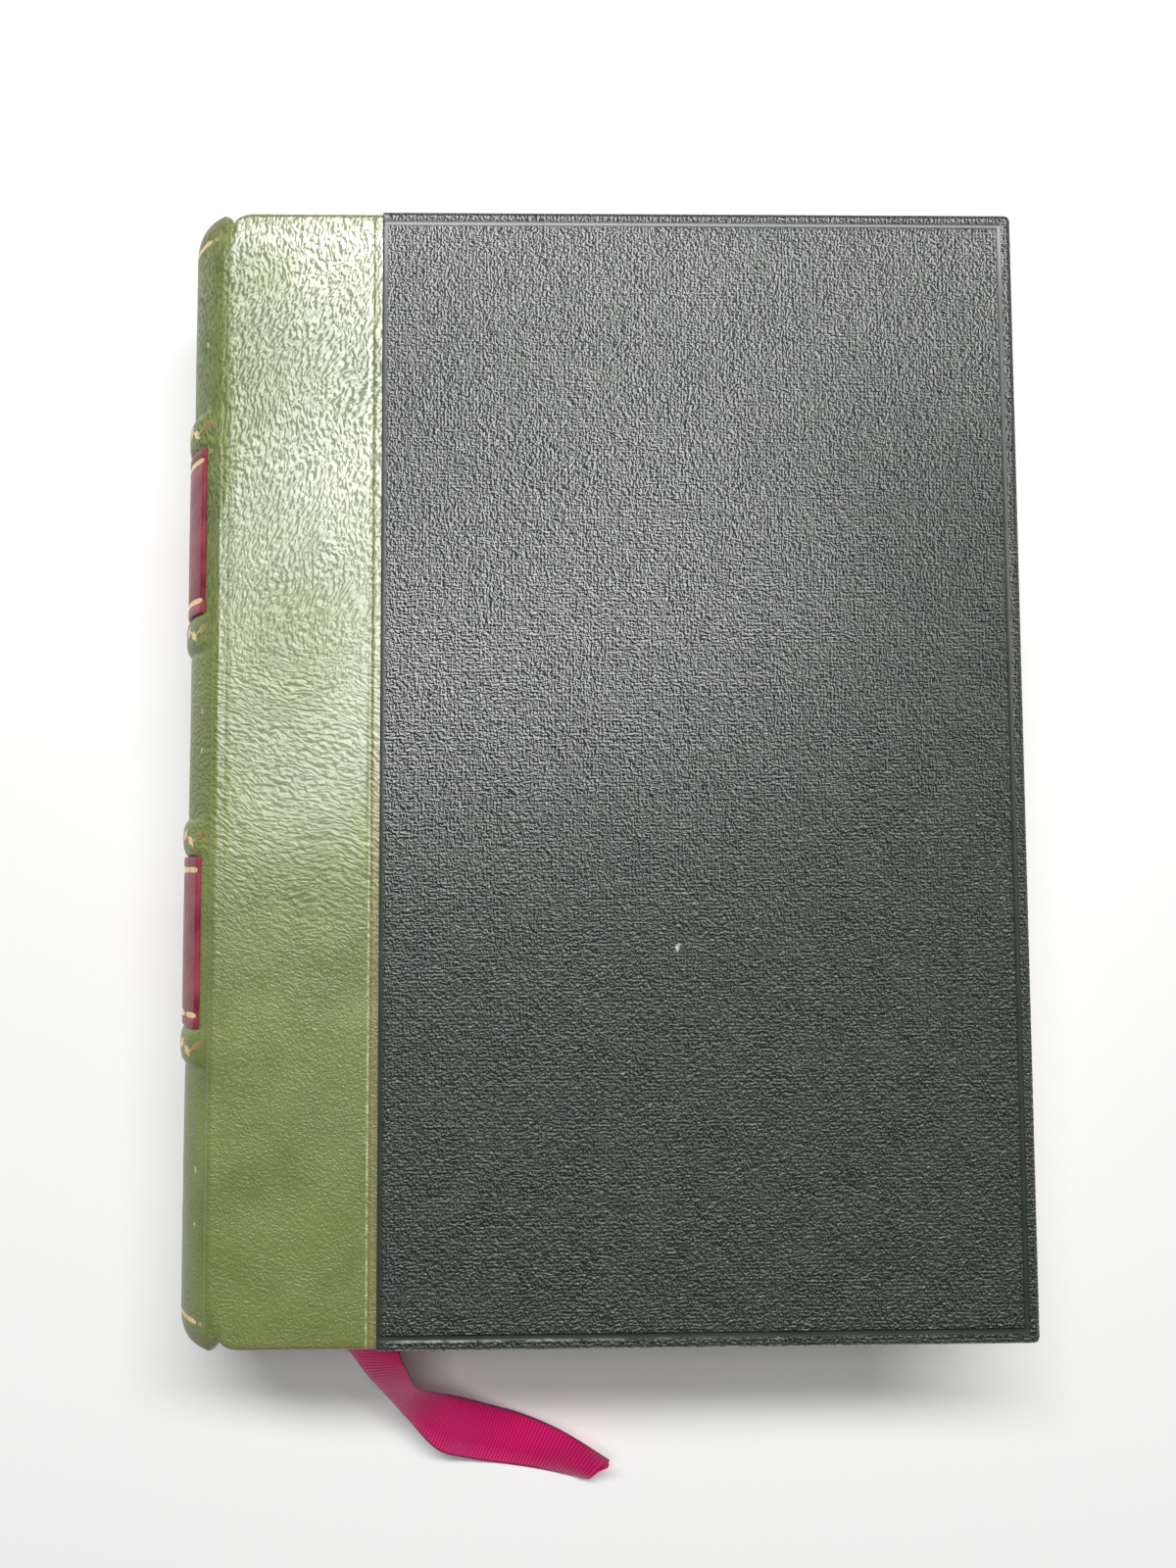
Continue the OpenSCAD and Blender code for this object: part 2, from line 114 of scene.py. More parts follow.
# Headcaps
CAP_Y = 107.0
CAP_START = 97.0
CAP_LEN = 5.0
CAP_DEPTH = 2.1
CAP_LIP = 3.4
LIP_Y = 104.9
CAP_CORNER_W = 4.485
CAP_CORNER_Y = 103.7
CAP_CORNER_H = 3.7

# Bands, labels and gold
BAND_W = 6.8
BAND_RISE = 0.9
BAND_END = math.radians(57)
BAND_FADE = math.radians(17.5)
# Beside a band the leather is pressed down a little. The width is a share of half a band.
BAND_FOOT_W = 0.35
BAND_FOOT_DEPTH = 0.07
BANDS = [64.8, 25.75, -13.3, -52.35]
LABELS = [45.275, -32.825]
LABEL_LEN = 31.85
LABEL_T = 0.75
LABEL_SINK = 0.05
LABEL_LINE_IN = 2.4
LABEL_LINE_DEPTH = 0.12
LABEL_END = math.radians(46.5)
GILT_LIFT = 0.03
GILT_T = 0.02
# The gold's rows of sprigs, each with its length along the spine and the way it points. Buds stand
# beside them, further round.
SPRIG_ROWS = [(81.5, 1), (10.6, 1), (3.2, -1), (-74.5, 1), (-84.5, -1)]
SPRIG_ANGLE = 0.26
BUD_ANGLE = 0.78
# The gold lines: their width, and their reach to each side in radians. Then where they are rubbed away.
END_LINE_Y = 101.7
END_LINE = (0.9, 1.02)
LABEL_LINE = (1.05, 0.8)
END_GAPS = (0.86, 0.3, -0.5)
LABEL_GAPS = (-0.6,)
LOWEST_GAPS = (0.55, -0.3)

# Leaves and endbands
LEAF_Y = 103.0
LEAF_X = 71.5
LEAVES_HALF = 13.65
FORE_HOLLOW = 6.5
SHOULDER_X = JOINT_X - 0.3
LEAF_BATCHES = 84
ENDBAND_R = 0.8
ENDBAND_LIFT = 0.7
ENDBAND_END = math.radians(53)
ENDBAND_THREADS = 96
JOINT_PAPER_HALF = 101.4
JOINT_PAPER_T = 0.05
# The fold of paper in the front joint: x from the joint, and z.
JOINT_FOLD = [(-0.22, 33.5), (-0.22, 34.5), (-0.16, 34.7), (0, 34.8), (0.14, 34.76), (0.19, 34.6),
              (0.19, 34.2)]

# Ribbon marker: its fixed end in the spine's head, where it leaves the leaves at the tail, and both
# edges of its free end, from there on, in ribbon widths and in shares of its height there.
RIBBON_W = 11.5
RIBBON_T = 0.16
RIBBON_Z = 21.0
RIBBON_EXIT_IN = 25
RIBBON_TOP = Vector((JOINT_X - RIBBON_W / 5, LEAF_Y - RIBBON_W / 2, RIBBON_Z))
RIBBON_EXIT = Vector((JOINT_X + RIBBON_EXIT_IN, -LEAF_Y, RIBBON_Z))
RIBBON_FALL = [
    ((-0.5, -0.65, 0.91), (0.48, -0.56, 1.01)),
    ((-0.36, -1, 0.77), (0.52, -0.84, 1.02)),
    ((-0.13, -1.43, 0.66), (0.62, -1.11, 0.98)),
    ((0.17, -1.92, 0.5), (0.73, -1.45, 0.87)),
    ((0.5, -2.42, 0.37), (0.92, -1.69, 0.67)),
    ((0.98, -3.02, 0.27), (1.34, -2, 0.39)),
    ((1.51, -3.33, 0.1), (1.91, -2.31, 0.2)),
    ((2.15, -3.5, 0.02), (2.51, -2.57, 0.1)),
    ((2.83, -3.61, 0.02), (3.22, -2.77, 0.23)),
    ((3.62, -3.79, 0.02), (4.03, -3.15, 0.37)),
]
RIBBON_CAMBER = 0.55
RIBBON_CURL = 0.5
# The ribbon starts to arch after so much of its length, over a run. Its end curls over another run.
RIBBON_FREE_FROM = 215
RIBBON_ARCH_RUN = 40
RIBBON_CURL_RUN = 9
# The leaves part for the ribbon by so much, towards the tail, beside it, and above and below it.
PARTING = 0.26
PARTING_FROM_Y = -80
PARTING_RUN = 20
PARTING_HALF_W = 10.2
PARTING_SIDE_RUN = 4.4
PARTING_DEPTH = 5

# Camera and light. The camera is turned by so many degrees about x, y and z.
CAMERA_LENS = 27
CAMERA_FILM = 36
CAMERA_PLACE = Vector((-11.6, -17.0, 253.8))
CAMERA_TURN = (3.5, -1.08, -0.26)
ROOM_LIGHT = 0.04
ROOM_TONE = 0.9

# Each patch that hands have polished or dulled: its middle in metres, how far it is narrowed
# along each axis, and its share of the polish.
POLISHED_PATCHES = [
    ((-0.0700, 0.0960, 0.036), (1.1, 1.0, 1.0), 0.55),
    ((-0.0640, 0.0200, 0.036), (0.6, 0.42, 1.0), 0.42),
    ((-0.0550, 0.0690, 0.036), (0.5, 0.42, 1.0), 2.3),
    ((-0.0640, -0.0140, 0.036), (0.6, 0.8, 1.0), 1.3),
]
# Each thin line beside the cloth: its distance from it and half width in metres, strength, colour. The first
# is a painted highlight on the blind line's lit shoulder, the second a brown line in the leather.
HIGHLIGHT_AND_BROWN_LINES = [
    (0.0019, 0.00028, 0.55, (0.8, 0.8, 0.5)),
    (0.0009, 0.0004, 0.3, (0.5, 0.3, 0.2)),
]
# Each mark on the cloth: its middle in metres, its narrowing, its strength and its colour.
WEAR_MARKS = [
    ((0.00902, -0.03391, 0.036), (2.2, 1.5, 1.0), 0.9, (0.62, 0.6, 0.55)),
    ((-0.0062, 0.0748, 0.036), (0.42, 1.0, 1.0), 0.1, (0.4, 0.4, 0.38)),
    ((-0.0012, 0.0736, 0.036), (0.5, 1.2, 1.0), 0.08, (0.4, 0.4, 0.38)),
]


def smooth_step(t):
    """Eases from 0 to 1 and is held at both ends."""
    t = min(max(t, 0.0), 1.0)
    return t * t * (3 - 2 * t)


# Shader nodes. Each helper adds its nodes to the tree that the outputs it is given are in.


def plug(socket, value):
    """Gives a socket a value, or joins another node's output to it."""
    if isinstance(value, bpy.types.NodeSocket):
        socket.id_data.links.new(value, socket)
    else:
        socket.default_value = value


def node(tree, kind, settings=None, **values):
    """Adds a node. Its named inputs get a number, a vector or another node's output."""
    made = tree.nodes.new(kind)
    for name, value in (settings or {}).items():
        setattr(made, name, value)
    for name, value in values.items():
        plug(made.inputs[name.replace("_", " ")], value)
    return made


def sum_of(kind, settings, values):
    """A node that reckons with numbers or vectors, at least one of them an output."""
    tree = next(value.id_data for value in values if isinstance(value, bpy.types.NodeSocket))
    made = node(tree, kind, settings)
    for socket, value in zip(made.inputs, values):
        plug(socket, value)
    return made.outputs


def maths(operation, *values, clamp=False):
    """One sum on numbers."""
    return sum_of("ShaderNodeMath", {"operation": operation, "use_clamp": clamp}, values)[0]


def vectors(operation, *values):
    """One sum on vectors. Its first output is a vector, and the one called Value a number."""
    return sum_of("ShaderNodeVectorMath", {"operation": operation}, values)


def times(first, *others):
    """All the values multiplied together."""
    for other in others:
        first = maths("MULTIPLY", first, other)
    return first


def less(value, taken):
    """A value with another taken from it."""
    return maths("SUBTRACT", value, taken)


def off(value, middle):
    """How far a value lies from a middle one, on either side."""
    return maths("ABSOLUTE", less(value, middle))


def axes(place):
    """The x and y of some coordinates."""
    return node(place.id_data, "ShaderNodeSeparateXYZ", Vector=place).outputs[:2]


def span(value, low, high, to_low=0.0, to_high=1.0, smooth=False):
    """Maps a value from low..high to a new range, held at both ends."""
    made = node(value.id_data, "ShaderNodeMapRange", Value=value, From_Min=low, From_Max=high,
                To_Min=to_low, To_Max=to_high)
    made.interpolation_type = "SMOOTHSTEP" if smooth else "LINEAR"
    return made.outputs[0]


def blend_colour(share, below, above):
    """A colour between two others. Input 0 takes the share, and 6 and 7 are the colours."""
    made = node(share.id_data, "ShaderNodeMix", {"data_type": "RGBA"})
    plug(made.inputs[0], share)
    for socket, value in ((made.inputs[6], below), (made.inputs[7], above)):
        if not isinstance(value, bpy.types.NodeSocket):
            value = (*value, 1)
        plug(socket, value)
    return made.outputs[2]


def stretched(place, scale, turn=0.0):
    """The same coordinates, stretched by a scale for each axis, or turned about z."""
    made = node(place.id_data, "ShaderNodeMapping", Vector=place, Scale=scale, Rotation=(0, 0, turn))
    return made.outputs[0]


def wobbled(place, scale, amount):
    """Coordinates pushed about by a soft noise, so that cells and lines turn irregular."""
    push = node(place.id_data, "ShaderNodeTexNoise", Vector=place, Scale=scale, Detail=2.0)
    centred = vectors("SUBTRACT", push.outputs["Color"], (0.5, 0.5, 0.5))[0]
    return vectors("MULTIPLY_ADD", centred, (amount, amount, amount), place)[0]


def away_from(place, centre, narrowing):
    """The distance from a centre, counted longer along each axis by its narrowing."""
    narrowed_centre = [c * n for c, n in zip(centre, narrowing)]
    return vectors("DISTANCE", stretched(place, narrowing), narrowed_centre)["Value"]


def start_finish(name, colour, roughness, **sockets):
    """A named material with its shader, and the coordinates it reads."""
    material = bpy.data.materials.new(name)
    material.use_nodes = True
    shader = material.node_tree.nodes["Principled BSDF"]
    shader.inputs["Base Color"].default_value = (*colour, 1)
    shader.inputs["Roughness"].default_value = roughness
    for socket, value in sockets.items():
        shader.inputs[socket.replace("_", " ")].default_value = value
    place = node(material.node_tree, "ShaderNodeTexCoord").outputs["Object"]
    return material, shader, place


def soft_noise(place, scale, detail=3.0):
    """Soft noise from 0 to 1. A larger scale gives smaller lumps."""
    return node(place.id_data, "ShaderNodeTexNoise", Vector=place, Scale=scale, Detail=detail).outputs[0]


def cells(place, scale, feature="F1"):
    """The distance to the nearest of many scattered points."""
    made = node(place.id_data, "ShaderNodeTexVoronoi", {"feature": feature}, Vector=place, Scale=scale)
    return made.outputs["Distance"]


def facing(grain, place, lean, reach):
    """How far the grain's slopes turn one way: 1 on the sides treated as lit, 0 on the sides away. It sets
    the shine, and the painted light and shade in the colours.
    """
    leaned = vectors("ADD", place, lean)[0]
    return span(less(grain(place), grain(leaned)), -reach, reach)


def paint(shader, colour):
    """Gives the surface its pattern of colour."""
    plug(shader.inputs["Base Color"], colour)


def relief(shader, height, depth, strength=1.0):
    """Turns a height from 0 to 1 into a bump of a real depth in metres."""
    bump = node(height.id_data, "ShaderNodeBump", Height=height, Strength=strength, Distance=depth)
    plug(shader.inputs["Normal"], bump.outputs[0])


def shine(shader, coat, specular):
    """Sets how strongly the clear coat and the surface under it reflect."""
    plug(shader.inputs["Coat Weight"], coat)
    plug(shader.inputs["Specular IOR Level"], specular)


def from_ends(y):
    """How far a place on a cover is from its nearer end, head or tail."""
    return less(HEAD_Y * MM, maths("ABSOLUTE", y))


# Finishes


def goatskin_dye(place, lit, held, to_ends):
    """Mottled olive, darker at the tail, with painted shade on the wrinkles' slopes turned away from the
    light, browned at the edges, and with a painted highlight line and a brown line, both broken, beside the
    lower half of the cloth."""
    x, y = axes(place)
    mottle = span(soft_noise(place, 95, 4.0), 0.28, 0.76)
    dye = blend_colour(mottle, (0.155, 0.212, 0.052), (0.262, 0.308, 0.094))
    dye = blend_colour(span(y, -0.1, -0.03, 0.4, 0.0), dye, (0.14, 0.19, 0.045))
    # Painted shade: the colour darkens on the wrinkles' slopes turned away from the light, more on the spine
    # and less towards the tail.
    painted_slope_shade = times(span(lit, 0.3, 0.55, 0.4, 0.0), span(held, 0.2, 1.0, 1.6, 1.0),
                    span(y, -0.03, 0.05, 0.5, 1.0))
    dye = blend_colour(painted_slope_shade, dye, (0.09, 0.1, 0.065))
    to_cloth = less(LEATHER_EDGE_X * MM, x)
    beside_cloth = times(span(to_cloth, 0.0012, 0.0022, 0.4, 0.0, smooth=True),
                         span(y, 0.0, 0.06, 1.0, 0.3))
    at_ends = span(to_ends, 0.0006, 0.0035, 0.5, 0.0, smooth=True)
    browned = maths("MAXIMUM", at_ends, beside_cloth)
    dye = blend_colour(browned, dye, (0.2, 0.15, 0.07))
    lower_half = span(y, -0.03, 0.02, 1.0, 0.0, smooth=True)
    broken = span(soft_noise(stretched(place, (1, 0.5, 1)), 1300), 0.4, 0.6, 0.2, 1.0)
    # The pale line is a painted highlight; the brown one is the leather's own colour.
    for away, half, share, colour in HIGHLIGHT_AND_BROWN_LINES:
        line = span(off(to_cloth, away), half * 0.3, half, share, 0.0)
        dye = blend_colour(times(line, lower_half, broken), dye, colour)
    return dye


def green_leather_finish():
    """Olive goatskin with short drawn wrinkles, glossier on the side of each treated as lit and with painted
    shade on the other side.
    The spine, which hands have held, is duller than the covers."""
    material, shader, place = start_finish("olive_goatskin", (0.2, 0.23, 0.07), 0.36,
                                           Coat_Roughness=0.2, Coat_IOR=2.0)
    x, y = axes(place)
    loose = wobbled(wobbled(place, 50, 0.009), 500, 0.001)
    loose = stretched(loose, (1, 1, 1), turn=0.3)
    uneven_y = maths("MULTIPLY_ADD", soft_noise(place, 40, 1.0), 0.03, y)
    lying = span(uneven_y, 0.055, 0.015, smooth=True)
    at_tail = span(y, -0.055, -0.005, 0.9, 0.0, smooth=True)

    def wrinkles(where):
        """Upright wrinkles at the head, level ones below, and round pebbles towards the tail."""
        upright = soft_noise(stretched(where, (1, 0.42, 1)), 1700, 1.0)
        level = soft_noise(stretched(where, (0.42, 1, 1)), 1500, 1.0)
        pebbles = soft_noise(where, 2300, 1.0)
        drawn = maths("MULTIPLY_ADD", less(level, upright), lying, upright)
        return maths("MULTIPLY_ADD", less(pebbles, drawn), at_tail, drawn)

    patches = span(soft_noise(place, 60, 1.0), 0.42, 0.58, smooth=True)
    lean = blend_colour(patches, (0.00024, 0.00008, 0), (0.00012, 0.00028, 0))
    lean = blend_colour(lying, lean, (0.00005, 0.00024, 0))
    lit = facing(wrinkles, loose, lean, 0.09)
    onto_spine = span(y, 0.045, 0.053, 0.0015, 0.0, smooth=True)
    from_joint = less(maths("ADD", x, onto_spine), JOINT_SIDE * MM)
    held = span(from_joint, -0.0008, 0.0004, 0.2, 1.0, smooth=True)
    calm = times(span(y, -0.055, -0.015, 0.45, 1.0, smooth=True), span(held, 0.2, 1.0, 0.5, 1.0))
    relief(shader, times(wrinkles(loose), calm), 0.0005)
    to_ends = from_ends(y)
    polish = times(held, span(to_ends, 0.0008, 0.005, 0.3, 0.8, smooth=True))
    for centre, narrowing, share in POLISHED_PATCHES:
        away = away_from(wobbled(place, 120, 0.006), centre, narrowing)
        polish = times(polish, span(away, 0.001, 0.013, share, 1.0, smooth=True))
    even = span(y, 0.02, 0.065, 0.5, 0.25)
    ridges = span(lit, 0.25, 0.48, even, 1.0)
    shine(shader, times(ridges, polish), times(ridges, held, 0.8))
    paint(shader, goatskin_dye(place, lit, held, to_ends))
    return material


def label_leather_finish():
    """Thin maroon skiver, polished, with faint scuffs."""
    material, shader, place = start_finish("maroon_skiver", (0.19, 0.03, 0.04), 0.4,
                                           Specular_IOR_Level=0.25, Coat_Weight=0.1, Coat_Roughness=0.3)
    pebbles = cells(wobbled(place, 600, 0.0008), 1100, "SMOOTH_F1")
    relief(shader, span(pebbles, 0.05, 0.8, 1.0, 0.0), 0.00012, 0.6)
    mottle = span(soft_noise(place, 220, 4.0), 0.35, 0.7)
    dye = blend_colour(mottle, (0.2, 0.02, 0.045), (0.33, 0.06, 0.085))
    paint(shader, dye)
    return material


def cloth_ground(place, gloss_and_painted_sheen, to_edge):
    """The cloth's black-green, paler where its sheen falls as a painted highlight, with a broken painted
    highlight beside the blind line at the tail, bare at its edges and marked by wear.
    """
    x, y = axes(place)
    mottle = span(soft_noise(place, 140, 3.0), 0.35, 0.7)
    ground = blend_colour(mottle, (0.017, 0.024, 0.018), (0.033, 0.04, 0.032))
    # Painted highlight: the colour turns paler with the sheen, on the grain's lit sides and on the smooth
    # strips.
    ground = blend_colour(times(gloss_and_painted_sheen, 0.5), ground, (0.09, 0.095, 0.09))
    bare = span(to_edge, 0.0004, 0.0012, 0.4, 0.0, smooth=True)
    ground = blend_colour(bare, ground, (0.1, 0.1, 0.09))
    # Painted highlight: a broken bright line beside the blind line at the tail, fading to the right.
    tail_line = times(span(off(y, -0.1041), 0.0001, 0.0003, 0.6, 0.0), span(x, -0.04, 0.02, 1.0, 0.0))
    glint = times(tail_line, span(soft_noise(stretched(place, (0.35, 1, 1)), 900), 0.42, 0.6))
    ground = blend_colour(glint, ground, (0.6, 0.64, 0.6))
    for centre, narrowing, share, colour in WEAR_MARKS:
        gap = away_from(wobbled(place, 900, 0.0012), centre, narrowing)
        mark = span(gap, 0.0006, 0.0011, share, 0.0, smooth=True)
        ground = blend_colour(mark, ground, colour)
    return ground


def side_cloth_finish():
    """Black-green leathercloth, embossed with a coarse woven grain that stops at the blind lines."""
    material, shader, place = start_finish("black_leathercloth", (0.03, 0.035, 0.034), 0.4,
                                           Coat_Roughness=0.29, Coat_IOR=2.0)
    loose = wobbled(place, 800, 0.0005)
    x, y = axes(place)

    def weave(where):
        """Uneven threads both ways, over the faint rows of a regular weave."""
        warp = soft_noise(stretched(where, (1, 2.4, 1)), 1350, 1.0)
        weft = soft_noise(stretched(where, (2.4, 1, 1)), 1350, 1.0)
        raised = maths("MAXIMUM", warp, weft)
        for across, height in zip(axes(where), (0.022, 0.029)):
            row = maths("SINE", times(across, 2 * math.pi / (CLOTH_THREAD * MM)))
            raised = maths("MULTIPLY_ADD", row, height, raised)
        return raised

    patches = maths("MULTIPLY_ADD", soft_noise(place, 60, 1.0), 1.2, -0.6)
    upright = maths("ADD", patches, span(y, -0.07, 0.09), clamp=True)
    lean = blend_colour(upright, (0.00004, 0.00022, 0), (0.00022, 0.00004, 0))
    lit = facing(weave, loose, lean, 0.1)
    from_leather = less(x, LEATHER_EDGE_X * MM)
    to_edge = maths("MINIMUM", less(FORE_X * MM, x), from_ends(y))
    off_line = off(to_edge, CLOTH_LINE_IN * MM)
    grained = times(span(from_leather, 0.0004, 0.0014, smooth=True),
                    span(off_line, 0.0003, 0.0006, smooth=True))
    relief(shader, times(weave(loose), grained), 0.00045)
    worn = span(y, 0.0, 0.09, 0.0, 0.35)
    # The sheen of the grain's lit sides. It sets the coat, and in cloth_ground it becomes a painted
    # highlight in the colour.
    lit_side_sheen = maths("ADD", span(lit, 0.32, 0.5, 0.0, 0.12), span(lit, 0.58, 0.74, 0.0, 0.95))
    lit_side_sheen = maths("MULTIPLY_ADD", worn, 0.12, times(lit_side_sheen, less(1.0, worn)))
    lit_side_sheen = times(lit_side_sheen, span(y, -0.09, 0.05, 1.35, 1.0))
    plain = times(less(1.0, grained), span(y, 0.09, 0.1, 0.3, 0.55))
    gloss_and_painted_sheen = maths("MULTIPLY_ADD", lit_side_sheen, grained, plain)
    to_head_corner = maths("MULTIPLY_ADD", x, 0.4, y)
    gloss_and_painted_sheen = times(gloss_and_painted_sheen, span(to_head_corner, 0.06, 0.115, 1.0, 0.62))
    shine(shader, gloss_and_painted_sheen, times(gloss_and_painted_sheen, 0.8))
    paint(shader, cloth_ground(place, gloss_and_painted_sheen, to_edge))
    return material


def page_edge_finish():
    """Cut leaves seen from their edges: many thin lines, toned by age."""
    material, shader, place = start_finish("cut_leaves", (0.8, 0.72, 0.56), 0.85, Specular_IOR_Level=0.2)
    sheets = soft_noise(stretched(place, (40, 40, 9000)), 1.0, 2.0)
    batches = soft_noise(stretched(place, (12, 12, 900)), 1.0, 3.0)
    toned = soft_noise(place, 60, 3.0)
    paper = blend_colour(span(sheets, 0.35, 0.65), (0.52, 0.44, 0.31), (0.86, 0.8, 0.66))
    paper = blend_colour(span(batches, 0.4, 0.62, 0.0, 0.4), paper, (0.6, 0.5, 0.36))
    paper = blend_colour(span(toned, 0.45, 0.75, 0.0, 0.35), paper, (0.5, 0.38, 0.24))
    paint(shader, paper)
    relief(shader, sheets, 0.0001, 0.7)
    return material


def endpaper_finish():
    """Cream wove paper with soft fibres and a few pale brown age spots."""
    material, shader, place = start_finish("cream_endpaper", (0.84, 0.77, 0.62), 0.8,
                                           Specular_IOR_Level=0.25)
    fibres = soft_noise(stretched(place, (900, 2600, 900)), 1.0, 4.0)
    clouds = soft_noise(place, 35, 3.0)
    paper = blend_colour(span(fibres, 0.3, 0.7), (0.76, 0.69, 0.53), (0.87, 0.81, 0.67))
    paper = blend_colour(span(clouds, 0.45, 0.75, 0.0, 0.3), paper, (0.7, 0.58, 0.4))
    spots = span(cells(wobbled(place, 300, 0.002), 70), 0.06, 0.1, 0.35, 0.0)
    paper = blend_colour(spots, paper, (0.52, 0.36, 0.2))
    paint(shader, paper)
    relief(shader, fibres, 0.00005, 0.5)
    return material


def board_finish():
    """Grey millboard with pressed fibres."""
    material, shader, place = start_finish("grey_millboard", (0.32, 0.28, 0.22), 0.9,
                                           Specular_IOR_Level=0.2)
    fibres = soft_noise(stretched(place, (1500, 500, 3000)), 1.0, 4.0)
    tone = blend_colour(fibres, (0.24, 0.21, 0.16), (0.38, 0.34, 0.27))
    paint(shader, tone)
    relief(shader, fibres, 0.0001, 0.6)
    return material


def lining_finish():
    """Open linen on the spine, in a plain weave, under paste and paper."""
    material, shader, place = start_finish("spine_linen", (0.7, 0.63, 0.48), 0.9, Specular_IOR_Level=0.2)
    weave = cells(stretched(place, (1400, 1400, 1400)), 1.0)
    tone = blend_colour(span(weave, 0.1, 0.6), (0.76, 0.7, 0.55), (0.5, 0.44, 0.31))
    paint(shader, tone)
    relief(shader, weave, 0.0001, 0.6)
    return material


def gilt_finish():
    """Gold leaf, rubbed a little, so that specks of the leather show through it."""
    material, shader, place = start_finish("rubbed_gold_leaf", (0.78, 0.6, 0.28), 0.34, Metallic=0.75)
    specks = soft_noise(place, 2600, 3.0)
    worn = soft_noise(place, 420, 3.0)
    leaf = blend_colour(span(worn, 0.35, 0.7), (0.86, 0.68, 0.34), (0.68, 0.48, 0.18))
    bare = times(span(specks, 0.58, 0.66), span(worn, 0.4, 0.6, 0.3, 0.9))
    leaf = blend_colour(bare, leaf, (0.16, 0.13, 0.05))
    paint(shader, leaf)
    relief(shader, specks, 0.00004, 0.6)
    return material


def silk_finish():
    """Silk threads over the endband's cord, wound in two colours by turns."""
    material, shader, place = start_finish("endband_silk", (0.6, 0.5, 0.3), 0.45, Sheen_Weight=0.3)
    thread = node(material.node_tree, "ShaderNodeAttribute", {"attribute_name": "thread"}).outputs["Fac"]
    strands = soft_noise(stretched(place, (3000, 900, 3000)), 1.0, 2.0)
    tone = blend_colour(thread, (0.72, 0.62, 0.4), (0.2, 0.28, 0.09))
    tone = blend_colour(span(strands, 0.3, 0.7, 0.35, 0.0), tone, (0.2, 0.15, 0.07))
    paint(shader, tone)
    relief(shader, strands, 0.00006, 0.6)
    return material


def ribbon_finish():
    """Crimson satin with fine cross ribs and a darker picot edge. It reads the ribbon's own UV map,
    where U runs across from 0 to 1 and V along in ribbon widths."""
    material, shader, place = start_finish("crimson_satin", (0.62, 0.01, 0.12), 0.42,
                                           Specular_IOR_Level=0.3, Sheen_Weight=0.35, Sheen_Roughness=0.35)
    shader.inputs["Sheen Tint"].default_value = (1.0, 0.12, 0.5, 1)
    shader.inputs["Specular Tint"].default_value = (1.0, 0.2, 0.6, 1)
    flat = node(material.node_tree, "ShaderNodeUVMap", {"uv_map": "ribbon_flat"}).outputs[0]
    ribs = node(material.node_tree, "ShaderNodeTexWave", {"bands_direction": "Y"}, Vector=flat, Scale=5.2,
                Distortion=0.6, Detail=1.0, Detail_Scale=2.0).outputs[1]
    threads = soft_noise(stretched(flat, (6, 90, 1)), 1.0, 3.0)
    across = axes(flat)[0]
    picot = span(off(across, 0.5), 0.45, 0.475)
    tone = blend_colour(ribs, (0.46, 0.008, 0.08), (0.8, 0.02, 0.19))
    tone = blend_colour(span(threads, 0.35, 0.7, 0.3, 0.0), tone, (0.36, 0.004, 0.07))
    # Painted light: the part that drops from the book is brightened against the shade it lies in.
    drop = span(axes(place)[1], -0.124, -0.114, 0.0, 0.75)
    tone = blend_colour(drop, tone, (1.0, 0.012, 0.2))
    # Painted highlight: lighter pink ribs along one edge.
    painted_edge_highlight = times(span(across, 0.05, 0.32, 0.55, 0.0), ribs)
    tone = blend_colour(painted_edge_highlight, tone, (1.0, 0.09, 0.36))
    tone = blend_colour(times(picot, 0.8), tone, (0.13, 0.03, 0.07))
    paint(shader, tone)
    relief(shader, maths("MULTIPLY_ADD", threads, 0.4, ribs), 0.0001, 0.7)
    return material


green_leather = green_leather_finish()
label_leather = label_leather_finish()
side_cloth = side_cloth_finish()
page_edges = page_edge_finish()
endpaper = endpaper_finish()
millboard = board_finish()
linen = lining_finish()
gold_leaf = gilt_finish()
silk = silk_finish()
satin = ribbon_finish()


# Tools for shaping pieces


def dress(name, bm, material, sharp=50, outward=True):
    """Turns a bmesh made in millimetres into a finished piece in metres."""
    if outward:
        bmesh.ops.recalc_face_normals(bm, faces=bm.faces)
    for face in bm.faces:
        face.smooth = True
    for edge in bm.edges:
        if len(edge.link_faces) == 2 and edge.calc_face_angle() > math.radians(sharp):
            edge.smooth = False
    bmesh.ops.scale(bm, vec=(MM, MM, MM), verts=bm.verts)
    mesh = bpy.data.meshes.new(name)
    bm.to_mesh(mesh)
    bm.free()
    piece = bpy.data.objects.new(name, mesh)
    bpy.context.collection.objects.link(piece)
    mesh.materials.append(material)
    return piece


def cut_across(bm, axis, places, **drop):
    """Cuts the mesh by planes across one axis, so that it has vertices there, and can drop one side."""
    normal = Vector((0, 0, 0))
    normal[axis] = 1
    for place in places:
        geometry = bm.verts[:] + bm.edges[:] + bm.faces[:]
        bmesh.ops.bisect_plane(bm, geom=geometry, dist=0.0001, plane_co=normal * place, plane_no=normal,
                               **drop)


def only(kind, geometry):
    """The vertices, or the edges, among what an operator returns."""
    return [item for item in geometry if isinstance(item, kind)]


def flat_grid(bm, columns, rows):
    """The vertices of a flat grid from -0.5 to 0.5 each way, which is then bent to its form."""
    return bmesh.ops.create_grid(bm, x_segments=columns, y_segments=rows, size=0.5)["verts"]


def grid_place(vertex, columns, rows):
    """The column and the row of a vertex in a flat grid."""
    return round((vertex.co.x + 0.5) * columns), round((vertex.co.y + 0.5) * rows)


def all_at(verts, axis, place):
    """Whether all the vertices lie in one plane across an axis."""
    return all(abs(v.co[axis] - place) < SAME for v in verts)


# Spine. A place on it is an angle from the spine's middle, a length along y, and a lift.


